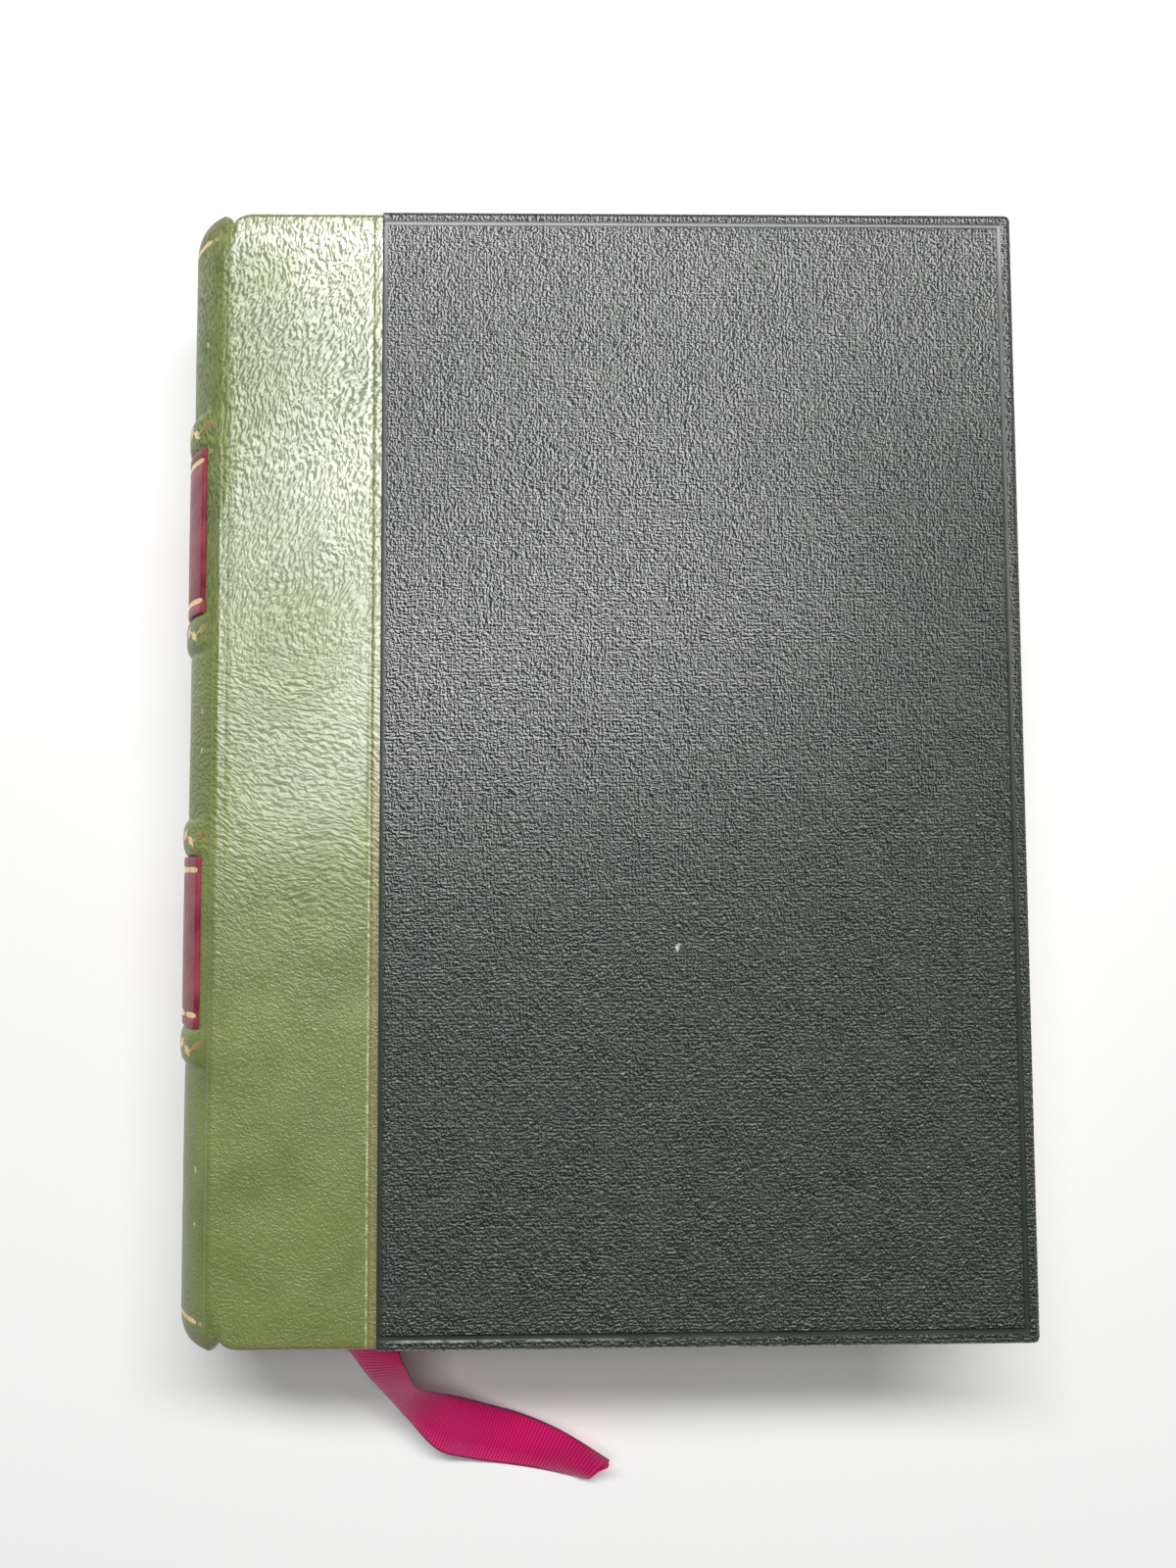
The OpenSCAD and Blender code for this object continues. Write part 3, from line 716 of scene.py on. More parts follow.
def about_spine(r, angle, y):
    """The point at a radius and an angle about the spine's axis."""
    return Vector((SPINE_X - r * math.cos(angle), y, MID_Z + r * math.sin(angle)))


def around(vertex):
    """A vertex's radius and angle about the spine's axis."""
    across = SPINE_X - vertex.co.x
    up = vertex.co.z - MID_Z
    return math.hypot(across, up), math.atan2(up, across)


def unevenness(angle, y):
    """Drawn leather is never quite even."""
    return noise.noise(Vector((angle * 3.1, y * 0.045, 4.2))) * UNEVEN_RISE


def band_height(y):
    """How far the leather stands out over the bands' middles, at a length along the spine."""
    for middle in BANDS:
        t = abs(y - middle) / (BAND_W / 2)
        if t < 1:
            return BAND_RISE * (1 - t ** 3) ** 0.65
        if t < 1 + BAND_FOOT_W:
            return -BAND_FOOT_DEPTH * math.sin(math.pi * (t - 1) / BAND_FOOT_W)
    return 0.0


def spine_point(angle, y, lift=0.0):
    """A point on the leather over the spine, where the bands die away before the joints."""
    fade = smooth_step((BAND_END - abs(angle)) / BAND_FADE)
    inside = smooth_step((JOINT_ANGLE - abs(angle)) / EVEN_ANGLE)
    inside *= smooth_step((EVEN_END_Y - abs(y)) / EVEN_RUN)
    rise = band_height(y) * fade + unevenness(angle, y) * inside
    return about_spine(SPINE_R + rise + lift, angle, y)


def shoulder_rise(x, y):
    """How far the leather beside a joint stands above the spine's arc: it lies level at first and then
    turns down, with a worn crease there. It dies away towards the headcaps."""
    s = JOINT_SIDE - x - SHOULDER_W
    turn_w, turn_h = SHOULDER_TURN
    if s > turn_w:
        return 0.0
    height = SHOULDER_TOP
    if s > 0:
        height -= turn_h * (1 - math.sqrt(1 - (s / turn_w) ** 2))
    rise = max(0.0, height - math.sqrt(SPINE_R ** 2 - (SPINE_X - x) ** 2))
    worn = smooth_step((y - WORN_FROM_Y) / WORN_RUN) * (0.7 + 0.8 * noise.noise(Vector((0.5, y * 0.3, 7.0))))
    crest = s - 0.1 + 0.15 * math.sin(y * 0.09) + 0.1 * noise.noise(Vector((1.5, y * 0.25, 3.0)))
    for fold, width, fold_rise in SHOULDER_FOLDS:
        rise += worn * fold_rise * math.exp(-((crest - fold) / width) ** 2)
    return rise * smooth_step((SHOULDER_END_Y - abs(y)) / SHOULDER_FADE)


def turned(bm, outline, half_angle, steps):
    """Turns a closed outline of radius and length about the spine's own axis."""
    ring = [bm.verts.new(about_spine(r, -half_angle, y)) for r, y in outline]
    face = bm.faces.new(ring)
    geometry = [face] + list(face.edges) + list(face.verts)
    bmesh.ops.spin(bm, geom=geometry, cent=(SPINE_X, 0, MID_Z), axis=(0, 1, 0), dvec=(0, 0, 0),
                   angle=2 * half_angle, steps=steps, use_merge=False, use_duplicate=False)
    bmesh.ops.remove_doubles(bm, verts=bm.verts, dist=0.0005)


def cap_outline():
    """Half of the headcap's outline: up the spine's face, over the cap and down its lip."""
    top = SPINE_R - CAP_DEPTH
    lip_r = (CAP_LIP - CAP_DEPTH) / 2
    cap = []
    for degrees in range(90, -1, -9):
        a = math.radians(degrees)
        cap.append((top + CAP_DEPTH * math.sin(a), CAP_Y - CAP_LEN * (1 - math.cos(a))))
    for i in range(1, 9):
        a = math.radians(90 + 11.25 * i)
        cap.append((top - lip_r + lip_r * math.cos(a), CAP_Y - lip_r + lip_r * math.sin(a)))
    cap.append((SPINE_R - CAP_LIP, LIP_Y))
    return cap


def length_stations():
    """Lengths along the spine, close together at the bands and wider apart in the panels."""
    band_step, band_steps, panel_step, clear_of_band = 0.36, 13, 2.5, 5.3
    stations = set()
    for middle in BANDS:
        for i in range(-band_steps, band_steps + 1):
            stations.add(round(middle + i * band_step, 3))
    for i in range(81):
        y = -100.5 + i * panel_step
        if all(abs(y - middle) > clear_of_band for middle in BANDS):
            stations.add(y)
    return sorted(stations)


def spine_skin():
    """The leather over the spine, with its bands, shoulders and headcaps."""
    bm = bmesh.new()
    cap = cap_outline()
    outline = [(r, -y) for r, y in reversed(cap)]
    outline += [(SPINE_R, y) for y in length_stations()]
    outline += cap
    outline += [(SPINE_R - LEATHER_T, LIP_Y), (SPINE_R - LEATHER_T, -LIP_Y)]
    turned(bm, outline, JOINT_ANGLE, 80)
    close = SHOULDER_ARC / JOINT_ANGLE
    for vertex in bm.verts:
        r, angle = around(vertex)
        y = vertex.co.y
        # Half of the steps lie beside the joints, where the leather turns down.
        share = abs(angle) / JOINT_ANGLE
        if share > 0.5:
            share = 1 - close * (1 - share) * 2
        else:
            share = share * 2 * (1 - close)
        angle = math.copysign(share * JOINT_ANGLE, angle)
        vertex.co = about_spine(r, angle, y)
        # Only the outer face takes the form of the bands and shoulders.
        if r > SPINE_R - 0.3:
            vertex.co = spine_point(angle, y, r - SPINE_R)
            vertex.co.z += math.copysign(shoulder_rise(vertex.co.x, y), angle)
        reach = JOINT_SIDE - vertex.co.x
        limit = CAP_Y
        if reach < CAP_CORNER_W:
            rise = math.sqrt(max(0.0, 1 - (1 - max(reach, 0) / CAP_CORNER_W) ** 2))
            limit = min(limit, CAP_CORNER_Y + CAP_CORNER_H * rise)
        if abs(y) > CAP_START:
            drawn = CAP_START + (abs(y) - CAP_START) * (limit - CAP_START) / (CAP_Y - CAP_START)
            vertex.co.y = math.copysign(drawn, y)
    skin = dress("spine_skin", bm, green_leather)
    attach(skin, "text_block")
    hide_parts("spine_leather")


def spine_label(name, node_name, middle, seed):
    """A thin label whose edges are pared, with a pressed line near each end."""
    bm = bmesh.new()
    half = LABEL_LEN / 2
    line = half - LABEL_LINE_IN
    pared_end = [(0.0, 0.0), (0.0, 0.45), (0.12, 0.66), (0.4, LABEL_T)]
    groove = [(-0.75, 0), (-0.6, LABEL_LINE_DEPTH), (0.6, LABEL_LINE_DEPTH), (0.75, 0)]
    stations = [(away - half, lift) for away, lift in pared_end]
    stations += [(away - line, LABEL_T - depth) for away, depth in groove]
    stations += [(y, LABEL_T) for y in range(-9, 10, 3)]
    stations += [(away + line, LABEL_T - depth) for away, depth in groove]
    stations += [(half - away, lift) for away, lift in reversed(pared_end)]
    turned(bm, [(SPINE_R + lift - LABEL_SINK, middle + y) for y, lift in stations], LABEL_END, 52)
    for vertex in bm.verts:
        r, angle = around(vertex)
        thick = r - SPINE_R + LABEL_SINK
        pared = smooth_step((LABEL_END - abs(angle)) / 0.03)
        y = vertex.co.y
        if abs(angle) > LABEL_END - 0.05:
            angle += noise.noise(Vector((y * 0.35, seed, 1.7))) * 0.012
        r = SPINE_R - LABEL_SINK + unevenness(angle, y) + thick * (0.45 + 0.55 * pared)
        vertex.co = about_spine(r, angle, y)
    piece = dress(name, bm, label_leather)
    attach(piece, "text_block")
    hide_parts(node_name)


# Gold. Each patch and line takes a function that gives the point for an angle and a length.


def gold_on_leather(angle, y):
    """Where gold lies on the leather."""
    return spine_point(angle, y, GILT_LIFT)


def gold_on_label(angle, y):
    """Where gold lies in a label's pressed line."""
    pressed = 0.1
    r = SPINE_R + unevenness(angle, y) + LABEL_T - LABEL_SINK - pressed + GILT_LIFT
    return about_spine(r, angle, y)


def foil(bm, angle, y, width, height, turned_by=0.0, pointed=0.9, bend=0.0, steps=6):
    """A leaf-shaped patch of gold: width runs around the spine, height along it. A pointed patch
    narrows to its two tips."""
    for vertex in flat_grid(bm, steps, 4):
        u, v = vertex.co.x * 2, vertex.co.y * 2
        s = u * width / 2
        t = v * height / 2 * (1 - pointed * u * u) + bend * (1 - u * u)
        across = s * math.cos(turned_by) - t * math.sin(turned_by)
        along = s * math.sin(turned_by) + t * math.cos(turned_by)
        vertex.co = gold_on_leather(angle + across / SPINE_R, y + along)


def vine_on_band(bm, middle, draw):
    """A roll of buds on a waving stem, tooled along a band's crest."""
    pitch = math.radians(9.4)
    count = 5
    for i in range(-count, count + 1):
        angle = i * pitch + draw.uniform(-0.004, 0.004)
        side = 1 if i % 2 else -1
        foil(bm, angle, middle + side * 0.5, 2.5, 1.6, side * 0.5, 0.92)
        foil(bm, angle + pitch * 0.28, middle + side * 1.25, 1.0, 0.7, side * 0.9)
        foil(bm, angle + pitch / 2, middle, 3.2, 0.34, -side * 0.62, 0.5, side * 0.25, 8)


def sprig(bm, angle, y, up):
    """A three-leaved sprig, as a small hand tool leaves it."""
    foil(bm, angle, y + up * 0.9, 1.0, 2.2)
    for side in (-1, 1):
        foil(bm, angle + side * 0.055, y, 1.7, 0.8, -side * up * 0.6)
    foil(bm, angle, y - up * 1.1, 0.35, 1.8, 0.0, 0.2)


def gilt_strip(bm, surface, y, width, reach, gaps):
    """A straight line of gold around the spine, with ragged ends where it is rubbed away."""
    edges = [-reach]
    for gap in sorted(gaps):
        edges += [gap - 0.018, gap + 0.018]
    edges.append(reach)
    for a, b in zip(edges[::2], edges[1::2]):
        steps = max(4, int(abs(b - a) / 0.05))
        for vertex in flat_grid(bm, steps, 2):
            u, v = vertex.co.x + 0.5, vertex.co.y
            angle = a + (b - a) * u
            waver = noise.noise(Vector((angle * 24, y, 2.0))) * 0.08
            ends = 0.5 + 0.5 * smooth_step(min(u, 1 - u) * abs(b - a) / 0.02)
            vertex.co = surface(angle, y + v * width * ends + waver)


def gold_tooling():
    """The vines on the bands, a row of sprigs or buds in each panel, and the lines at both ends and
    on the labels."""
    draw = random.Random(11)
    bm = bmesh.new()
    for middle in BANDS:
        vine_on_band(bm, middle, draw)
    for y, up in SPRIG_ROWS:
        for side in (-1, 1):
            foil(bm, side * BUD_ANGLE, y, 0.7, 1.3, 0.3 * up)
            sprig(bm, side * SPRIG_ANGLE, y, up)
    for side in (-1, 1):
        gilt_strip(bm, gold_on_leather, side * END_LINE_Y, *END_LINE, END_GAPS)
    for middle in LABELS:
        for side in (-1, 1):
            gaps = LOWEST_GAPS if middle < 0 and side < 0 else LABEL_GAPS
            y = middle + side * (LABEL_LEN / 2 - LABEL_LINE_IN)
            gilt_strip(bm, gold_on_label, y, *LABEL_LINE, gaps)
    bmesh.ops.solidify(bm, geom=bm.faces[:], thickness=GILT_T)
    piece = dress("gilt_tooling", bm, gold_leaf, sharp=60)
    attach(piece, "text_block")


def sewn_endband(name, node_name, side):
    """A cord wound with silk: each turn of thread is a small bead around the cord. Three turns in
    eight are of the darker silk."""
    bm = bmesh.new()
    middle_r = LEAF_R - ENDBAND_R
    outline = []
    for degrees in range(0, 181, 15):
        a = math.radians(degrees)
        length = LEAF_Y + ENDBAND_LIFT + ENDBAND_R * math.sin(a)
        outline.append((middle_r + ENDBAND_R * math.cos(a), side * length))
    outline += [(middle_r - ENDBAND_R, side * LEAF_Y), (middle_r + ENDBAND_R, side * LEAF_Y)]
    turned(bm, outline, ENDBAND_END, ENDBAND_THREADS * 2)
    layer = bm.verts.layers.float.new("thread")
    for vertex in bm.verts:
        r, angle = around(vertex)
        half_turn = round((angle + ENDBAND_END) / ENDBAND_END * ENDBAND_THREADS)
        hollow = 0.93 if half_turn % 2 else 1.0
        vertex[layer] = 1.0 if (half_turn // 2) % 8 < 3 else 0.0
        r = middle_r + (r - middle_r) * hollow
        rise = abs(vertex.co.y) - LEAF_Y
        if rise > 0.1:
            rise *= hollow
        vertex.co = about_spine(r, angle, side * (LEAF_Y + rise))
    piece = dress(name, bm, silk, sharp=80)
    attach(piece, "text_block")
    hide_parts(node_name)


# Covers. A board's skin is made with x from the joint, and z inwards from the outer face.


def board_outline(inset):
    """A skin's outline, inset from the cloth's face, with the back corners cut for the headcaps."""
    x1 = COVER_W - inset
    half = HEAD_Y - inset
    r = CORNER_R - inset
    corner_w, corner_h = BACK_CORNER
    points = []
    for i in range(9):
        a = math.radians(90 * i / 8)
        x = JOINT_GAP + corner_w * (1 - math.cos(a))
        points.append((x, half - corner_h + corner_h * math.sin(a)))
    for degrees in range(90, -1, -18):
        a = math.radians(degrees)
        points.append((x1 - r + r * math.cos(a), half - r + r * math.sin(a)))
    return points + [(x, -y) for x, y in reversed(points)]


def covered_board(inset):
    """A skin around a board: its outline drawn out to the board's depth, with both edges rounded."""
    bm = bmesh.new()
    ring = [bm.verts.new((x, y, inset)) for x, y in board_outline(inset)]
    face = bm.faces.new(ring)
    drawn = bmesh.ops.extrude_face_region(bm, geom=[face])["geom"]
    inner = only(bmesh.types.BMVert, drawn)
    bmesh.ops.translate(bm, verts=inner, vec=(0, 0, TURN_IN_IN - inset))
    if not any(all_at(f.verts, 2, inset) for f in bm.faces):
        bm.faces.new(ring)
    bmesh.ops.recalc_face_normals(bm, faces=bm.faces)
    for height, radius, segments in ((inset, EDGE_R, 6), (TURN_IN_IN, TURNED_R, 4)):
        edges = [e for e in bm.edges if all_at(e.verts, 2, height) and not all_at(e.verts, 0, JOINT_GAP)]
        bmesh.ops.bevel(bm, geom=edges, offset=radius, offset_type="OFFSET", segments=segments,
                        profile=0.5, affect="EDGES", clamp_overlap=False, material=-1)
    return bm


def open_inside(bm, x_end=math.inf):
    """Opens the skin where the pasted paper fills the space between the turned-in margins."""
    inner_y = HEAD_Y - CLOTH_T - TURN_IN_W
    cut_across(bm, 1, (-inner_y, inner_y))
    if x_end < COVER_W:
        cut_across(bm, 0, (x_end,))
    opening = []
    for face in bm.faces:
        middle = face.calc_center_median()
        flat = all(abs(v.co.z - TURN_IN_IN) < 0.01 for v in face.verts)
        if flat and abs(middle.y) < inner_y and middle.x < x_end:
            opening.append(face)
    bmesh.ops.delete(bm, geom=opening, context="FACES")


def lay_cover(bm, side, thickness):
    """Lays a cover's mesh on the book and gives it thickness: side 1 is the front cover, -1 the back."""
    for vertex in bm.verts:
        x, y, z = vertex.co
        vertex.co = (JOINT_X + x, y, BOOK_T - z if side > 0 else z)
    bmesh.ops.recalc_face_normals(bm, faces=bm.faces)
    outer = max(bm.faces, key=lambda f: f.calc_area())
    if outer.normal.z * side < 0:
        bmesh.ops.reverse_faces(bm, faces=bm.faces)
    bmesh.ops.solidify(bm, geom=bm.faces[:], thickness=thickness)


def joint_drop(x):
    """How far the leather sinks from the cover's face towards the joint."""
    s = x + JOINT_GAP
    if s > JOINT_RUN:
        return 0.0
    if s >= 0:
        return JOINT_SINK * ((JOINT_RUN - s) / JOINT_RUN) ** 2
    return JOINT_SINK - s * 0.12


def cover_leather(cover, side):
    """The leather on a board: it comes out of the joint, with a blind line near its other edge."""
    bm = covered_board(LEATHER_OUT)
    cut_across(bm, 0, [LEATHER_W + LEATHER_UNDER_CLOTH], clear_outer=True)
    wall = [f for f in bm.faces if all_at(f.verts, 0, JOINT_GAP)]
    bmesh.ops.delete(bm, geom=wall, context="FACES")
    line = LEATHER_W - LEATHER_LINE_IN
    # Close rows lie near the joint, where the leather sinks.
    cut_across(bm, 0, [0.4 * i + 0.2 for i in range(1, 9)] + [4.2])
    cut_across(bm, 0, [line + d for d in (-0.9, -0.4, -0.23, 0.23, 0.4, 0.9)] + [LEATHER_W])
    cut_across(bm, 1, [y * 6 for y in range(-16, 17)] + [-101.5, -104, 101.5, 104])
    open_inside(bm)
    rim_z = LEATHER_OUT + EDGE_R + 0.01
    lip = [e for e in bm.edges if all_at(e.verts, 0, JOINT_GAP) and all(v.co.z < rim_z for v in e.verts)]
    # The leather's edge is drawn on into the joint.
    for step in (0.3, 0.3, 0.25):
        drawn = bmesh.ops.extrude_edge_only(bm, edges=lip)["geom"]
        lip = only(bmesh.types.BMEdge, drawn)
        bmesh.ops.translate(bm, verts=only(bmesh.types.BMVert, drawn), vec=(-step, 0, 0))
    for vertex in bm.verts:
        x, y, z = vertex.co
        depth = (z - LEATHER_OUT) / EDGE_R
        if depth < 1 and x < JOINT_RUN:
            vertex.co.z += joint_drop(x) * (1 - max(depth, 0))
        if abs(z - LEATHER_OUT) < SAME and abs(x - line) < 0.3:
            vertex.co.z += LEATHER_LINE_DEPTH
        if x < 0 and abs(y) > CAP_CORNER_Y:
            vertex.co.y = math.copysign(CAP_CORNER_Y, y)
    lay_cover(bm, side, PARED_T - SKIN_SPARE)
    piece = dress(cover + "_side_leather", bm, green_leather, outward=False)
    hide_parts(cover + "_leather")
    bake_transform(piece)


def cover_cloth(cover, side):
    """Leathercloth lapped over the leather's edge, with a blind line along its three outer edges."""
    bm = covered_board(0.0)
    cut_across(bm, 0, [LEATHER_W], clear_inner=True)
    beside_line = [CLOTH_LINE_IN + d for d in (-1.1, -0.4, -0.2, 0.2, 0.4, 1.1)]
    cut_across(bm, 0, [COVER_W - d for d in beside_line] + [LEATHER_W + d for d in (0.25, 0.7, 1.2)])
    cut_across(bm, 1, [HEAD_Y - d for d in beside_line] + [d - HEAD_Y for d in beside_line])
    open_inside(bm, COVER_W - CLOTH_T - TURN_IN_W)
    for vertex in bm.verts:
        x, y, z = vertex.co
        if abs(z) > SAME:
            continue
        inside = min(COVER_W - x, HEAD_Y - abs(y))
        if abs(inside - CLOTH_LINE_IN) < 0.3:
            vertex.co.z += CLOTH_LINE_DEPTH
        if x < LEATHER_W + 0.01:
            vertex.co.z += LAP_DEPTH
    lay_cover(bm, side, CLOTH_T - SKIN_SPARE)
    piece = dress(cover + "_side_cloth", bm, side_cloth, outward=False)
    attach(piece, cover + "_cover")
    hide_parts(cover + "_cloth")


def joint_paper(cover, side):
    """The endpaper's fold in the joint, from the shoulder's face to the board's face."""
    bm = bmesh.new()
    last = len(JOINT_FOLD) - 1
    for vertex in flat_grid(bm, last, 20):
        x, z = JOINT_FOLD[grid_place(vertex, last, 20)[0]]
        y = vertex.co.y * 2 * JOINT_PAPER_HALF
        vertex.co = (JOINT_X + x, y, z if side > 0 else BOOK_T - z)
    bmesh.ops.solidify(bm, geom=bm.faces[:], thickness=JOINT_PAPER_T)
    piece = dress(cover + "_joint_paper", bm, endpaper, sharp=60)
    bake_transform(piece)


# Leaves


def leaf_place(x_share, level):
    """Where a leaf lies: x_share 0 is its spine edge and 1 its fore-edge, level -1 to 1 is its height."""
    theta = math.acos((SPINE_X - SHOULDER_X) / LEAF_R) * level
    spine_end = SPINE_X - LEAF_R * math.cos(theta)
    flat_z = LEAVES_HALF * level
    end_z = LEAF_R * math.sin(theta)
    hollow_r = (LEAVES_HALF ** 2 + FORE_HOLLOW ** 2) / (2 * FORE_HOLLOW)
    fore_end = LEAF_X - FORE_HOLLOW + hollow_r - math.sqrt(hollow_r ** 2 - flat_z ** 2)
    x = spine_end + (fore_end - spine_end) * x_share
    bend_end = SHOULDER_X + 0.05 + (1 - abs(level)) * 5
    bend = smooth_step((bend_end - x) / max(bend_end - spine_end, 0.05))
    return x, flat_z + (end_z - flat_z) * bend


def ribbon_parting(x, y, z):
    """The leaves part a little where the ribbon leaves them at the tail."""
    near = smooth_step((PARTING_FROM_Y - y) / PARTING_RUN)
    beside = smooth_step((PARTING_HALF_W - abs(x - RIBBON_EXIT.x)) / PARTING_SIDE_RUN)
    above = z - (RIBBON_Z - MID_Z)
    fade = smooth_step(1 - abs(above) / PARTING_DEPTH)
    return math.copysign(PARTING, above + SAME) * near * beside * fade


def sewn_leaves():
    """Leaves in small batches, each cut a hair longer or shorter than its neighbours."""
    draw = random.Random(5)
    bm = bmesh.new()
    shares = [0, 0.006, 0.014, 0.024, 0.036, 0.05, 0.07, 0.16, 0.19, 0.205, 0.225, 0.245, 0.26, 0.29, 0.6,
              0.97, 1]
    lengths = [-1, -0.93, -0.8, 0, 0.95, 1]
    columns, rows = len(shares) - 1, len(lengths) - 1
    for i in range(LEAF_BATCHES):
        lower = flat_grid(bm, columns, rows)
        faces = list({f for v in lower for f in v.link_faces})
        drawn = bmesh.ops.extrude_face_region(bm, geom=faces)["geom"]
        fore = draw.uniform(-0.16, 0.0)
        ends = (draw.uniform(-0.12, 0.0), draw.uniform(-0.12, 0.0))
        for batch_face, verts in ((i, lower), (i + 1, only(bmesh.types.BMVert, drawn))):
            for v in verts:
                column, row = grid_place(v, columns, rows)
                x, z = leaf_place(shares[column], -1 + 2 * batch_face / LEAF_BATCHES)
                y = lengths[row] * LEAF_Y
                if column == columns:
                    x += fore
                parted = ribbon_parting(x, y, z)
                if abs(lengths[row]) == 1:
                    y = math.copysign(LEAF_Y + ends[row == 0], y)
                v.co = (x, y, MID_Z + z + parted)
    piece = dress("sewn_leaves", bm, page_edges, sharp=30)
    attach(piece, "text_block")
    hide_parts("text_block")


# Ribbon


def along_curve(points, steps):
    """A smooth curve through the points, with the same number of steps between each two."""
    curve = []
    for i in range(len(points) - 1):
        before = points[max(i - 1, 0)]
        a, b = points[i], points[i + 1]
        after = points[min(i + 2, len(points) - 1)]
        for k in range(steps):
            t = k / steps
            curve.append(0.5 * ((2 * a) + (b - before) * t + (2 * before - 5 * a + 4 * b - after) * t * t
                                + (3 * a - before - 3 * b + after) * t ** 3))
    curve.append(points[-1])
    return curve


def ribbon_edges():
    """Both edges of the ribbon, from its fixed end to its free end."""
    run = RIBBON_EXIT - RIBBON_TOP
    side = Vector((-run.y, run.x, 0)).normalized() * RIBBON_W / 2
    left, right = [], []
    for share in (0, 0.2, 0.4, 0.6, 0.8, 0.93, 0.98, 1):
        middle = RIBBON_TOP + run * share
        left.append(middle - side)
        right.append(middle + side)
    for near, far in RIBBON_FALL:
        for edge, (x, y, z) in ((left, near), (right, far)):
            edge.append(Vector((RIBBON_EXIT.x + RIBBON_W * x, RIBBON_EXIT.y + RIBBON_W * y, RIBBON_Z * z)))
    return along_curve(left, 7), along_curve(right, 7)


def ribbon_marker():
    """The satin ribbon, arched a little across, with a waved and frayed free end."""
    left, right = ribbon_edges()
    last, columns = len(left) - 1, 10
    bm = bmesh.new()
    strip = flat_grid(bm, columns, last)
    layer = bm.loops.layers.uv.new("ribbon_flat")
    travelled = [0.0]
    for i in range(1, last + 1):
        step = (left[i] + right[i]) / 2 - (left[i - 1] + right[i - 1]) / 2
        travelled.append(travelled[-1] + step.length)
    length = travelled[-1]
    flat = {}
    for vertex in strip:
        across = vertex.co.x + 0.5
        row = grid_place(vertex, columns, last)[1]
        spot = left[row].lerp(right[row], across)
        after, before = min(row + 1, last), max(row - 1, 0)
        ahead = left[after] + right[after] - left[before] - right[before]
        lift = (right[row] - left[row]).cross(ahead).normalized()
        arched = smooth_step((travelled[row] - RIBBON_FREE_FROM) / RIBBON_ARCH_RUN)
        curled = smooth_step((travelled[row] - length) / RIBBON_CURL_RUN + 1)
        if row == last:
            spot = spot + ahead.normalized() * 1.2 * math.exp(-((across - 0.72) / 0.16) ** 2)
        sag = RIBBON_CAMBER * arched * math.sin(math.pi * across)
        sag += RIBBON_CURL * curled * math.sin(2 * math.pi * across)
        vertex.co = spot - lift * sag
        flat[vertex] = (across, travelled[row] / RIBBON_W)
    for face in bm.faces:
        for loop in face.loops:
            loop[layer].uv = flat[loop.vert]
    for vertex in bm.verts:
        vertex.co.z = max(vertex.co.z, RIBBON_T + 0.02)
    bmesh.ops.solidify(bm, geom=bm.faces[:], thickness=RIBBON_T)
    piece = dress("ribbon_strip", bm, satin, sharp=60)
    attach(piece, "text_block")
    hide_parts("ribbon_marker")


spine_skin()
spine_label("upper_title_label", "upper_label", LABELS[0], seed=1)
spine_label("lower_title_label", "lower_label", LABELS[1], seed=0)
gold_tooling()
sewn_endband("head_silk_band", "head_endband", 1)
sewn_endband("tail_silk_band", "tail_endband", -1)
for cover_name, cover_side in (("front", 1), ("back", -1)):
    cover_leather(cover_name, cover_side)
    cover_cloth(cover_name, cover_side)
    joint_paper(cover_name, cover_side)
sewn_leaves()
ribbon_marker()

# The solids that stay as they are, and what each is made of.
kept_nodes = {"spine_lining": linen}
for cover_name in ("front", "back"):
    kept_nodes[cover_name + "_flyleaf"] = endpaper
    kept_nodes[cover_name + "_pastedown"] = endpaper
    kept_nodes[cover_name + "_board"] = millboard
for band_number in range(1, len(BANDS) + 1):
    kept_nodes[f"raised_band_{band_number}"] = millboard
for kept_name, kept_material in kept_nodes.items():
    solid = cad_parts[kept_name]
    solid.data.materials.clear()
    solid.data.materials.append(kept_material)


# Camera, floor and light


def view_camera():
    """The camera that took the photograph, looking almost straight down."""
    data = bpy.data.cameras.new("view_camera")
    data.sensor_fit = "VERTICAL"
    data.sensor_height = CAMERA_FILM
    data.lens = CAMERA_LENS
    data.clip_start = 0.005
    camera = bpy.data.objects.new("view_camera", data)
    bpy.context.collection.objects.link(camera)
    camera.location = CAMERA_PLACE * MM
    camera.rotation_euler = [math.radians(angle) for angle in CAMERA_TURN]
    bpy.context.scene.camera = camera


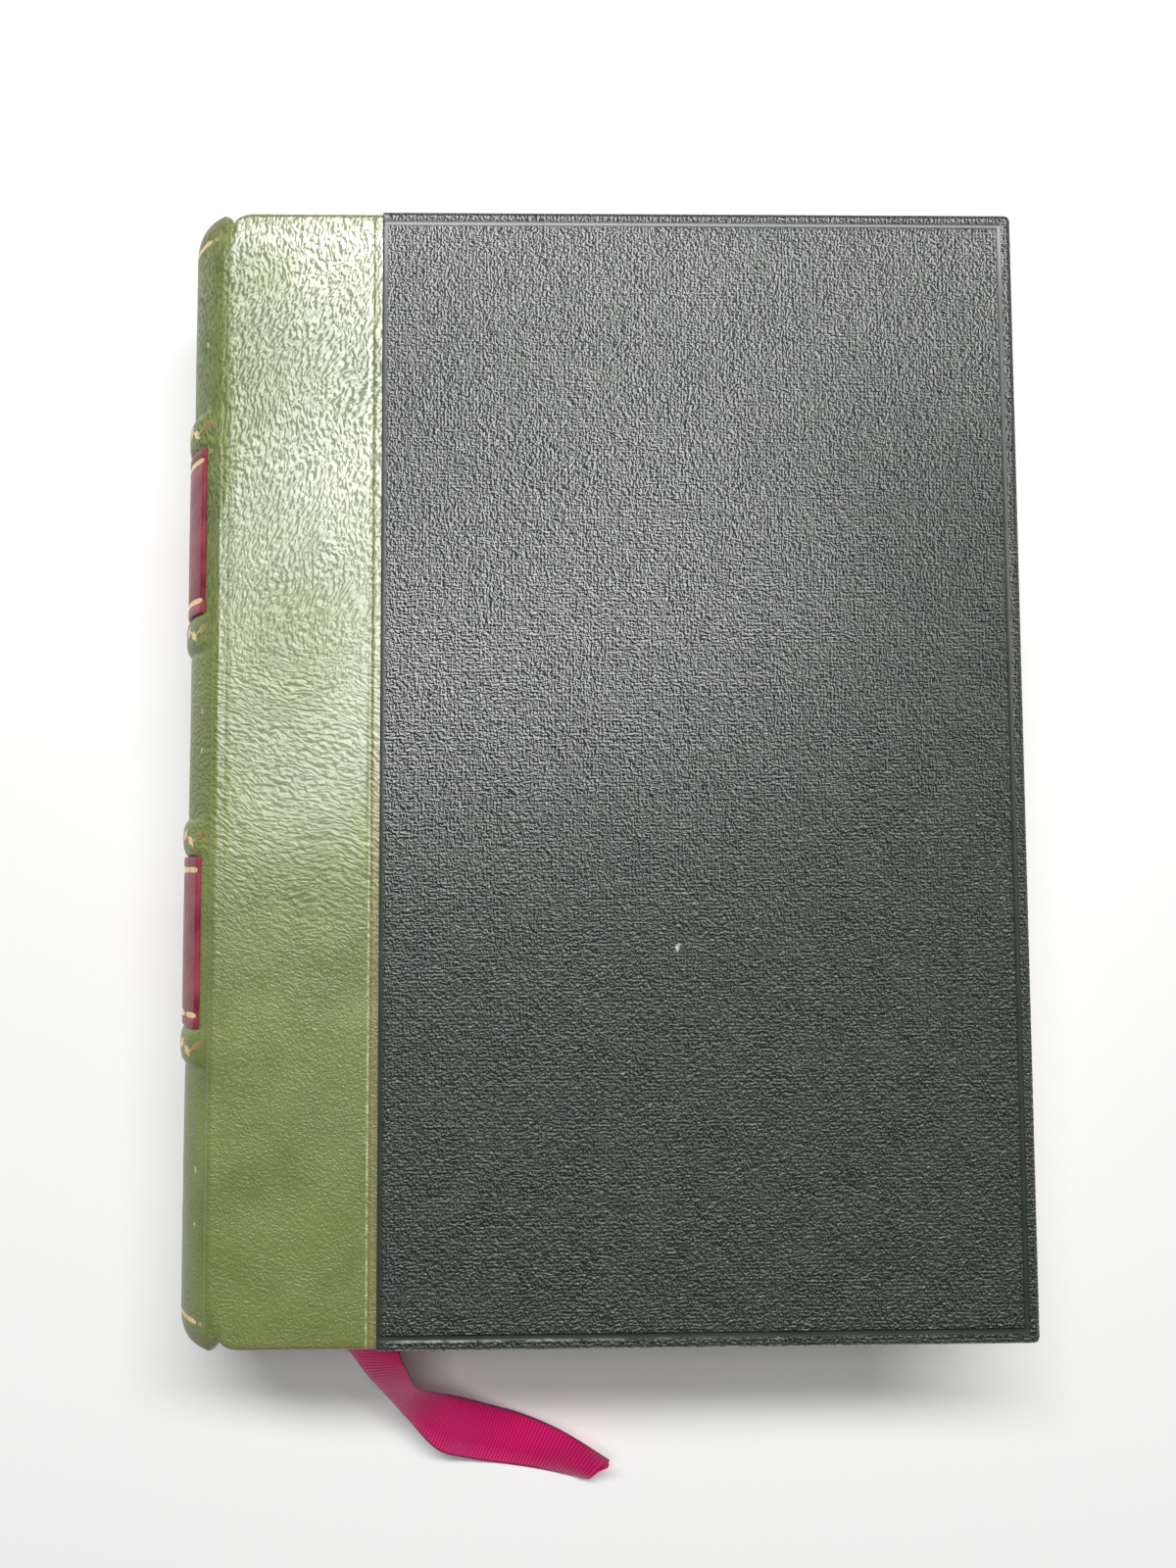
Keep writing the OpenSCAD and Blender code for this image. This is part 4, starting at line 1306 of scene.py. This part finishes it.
def pale_floor():
    """A pale table that fades into the room beyond the light, for the camera alone."""
    material, shader, place = start_finish("pale_table", (0.86, 0.86, 0.855), 0.7, Specular_IOR_Level=0.2)
    away = vectors("LENGTH", place)["Value"]
    seen = node(material.node_tree, "ShaderNodeLightPath").outputs["Is Camera Ray"]
    room = node(material.node_tree, "ShaderNodeEmission", Strength=ROOM_TONE)
    faded = times(span(away, 0.32, 0.8, smooth=True), seen)
    mixed = node(material.node_tree, "ShaderNodeMixShader", Fac=faded)
    plug(mixed.inputs[1], shader.outputs[0])
    plug(mixed.inputs[2], room.outputs[0])
    plug(material.node_tree.nodes["Material Output"].inputs["Surface"], mixed.outputs[0])
    bm = bmesh.new()
    bmesh.ops.create_grid(bm, x_segments=8, y_segments=8, size=1.5)
    floor = bpy.data.objects.new("pale_table", bpy.data.meshes.new("pale_table"))
    bm.to_mesh(floor.data)
    bm.free()
    bpy.context.collection.objects.link(floor)
    floor.data.materials.append(material)


def soft_lamp(name, place, width, height, power):
    """A flat lamp that is turned to the book."""
    data = bpy.data.lights.new(name, "AREA")
    data.shape = "RECTANGLE"
    data.size = width
    data.size_y = height
    data.energy = power
    lamp = bpy.data.objects.new(name, data)
    bpy.context.collection.objects.link(lamp)
    lamp.location = place
    lamp.rotation_euler = (-Vector(place)).to_track_quat("-Z", "Y").to_euler()


def pale_room():
    """A room that the camera sees pale, but that gives only a little light."""
    world = bpy.data.worlds.new("room")
    world.use_nodes = True
    background = world.node_tree.nodes["Background"]
    background.inputs[0].default_value = (1, 1, 1, 1)
    seen = node(world.node_tree, "ShaderNodeLightPath").outputs["Is Camera Ray"]
    plug(background.inputs[1], span(seen, 0.0, 1.0, ROOM_LIGHT, ROOM_TONE))
    bpy.context.scene.world = world
    bpy.context.scene.view_settings.view_transform = "Standard"


view_camera()
pale_floor()
soft_lamp("window_strip", (0.1, 0.84, 1.24), 1.6, 0.24, 25.5)
soft_lamp("overhead_sheet", (-0.08, 0.3, 1.2), 0.75, 0.4, 5.5)
pale_room()
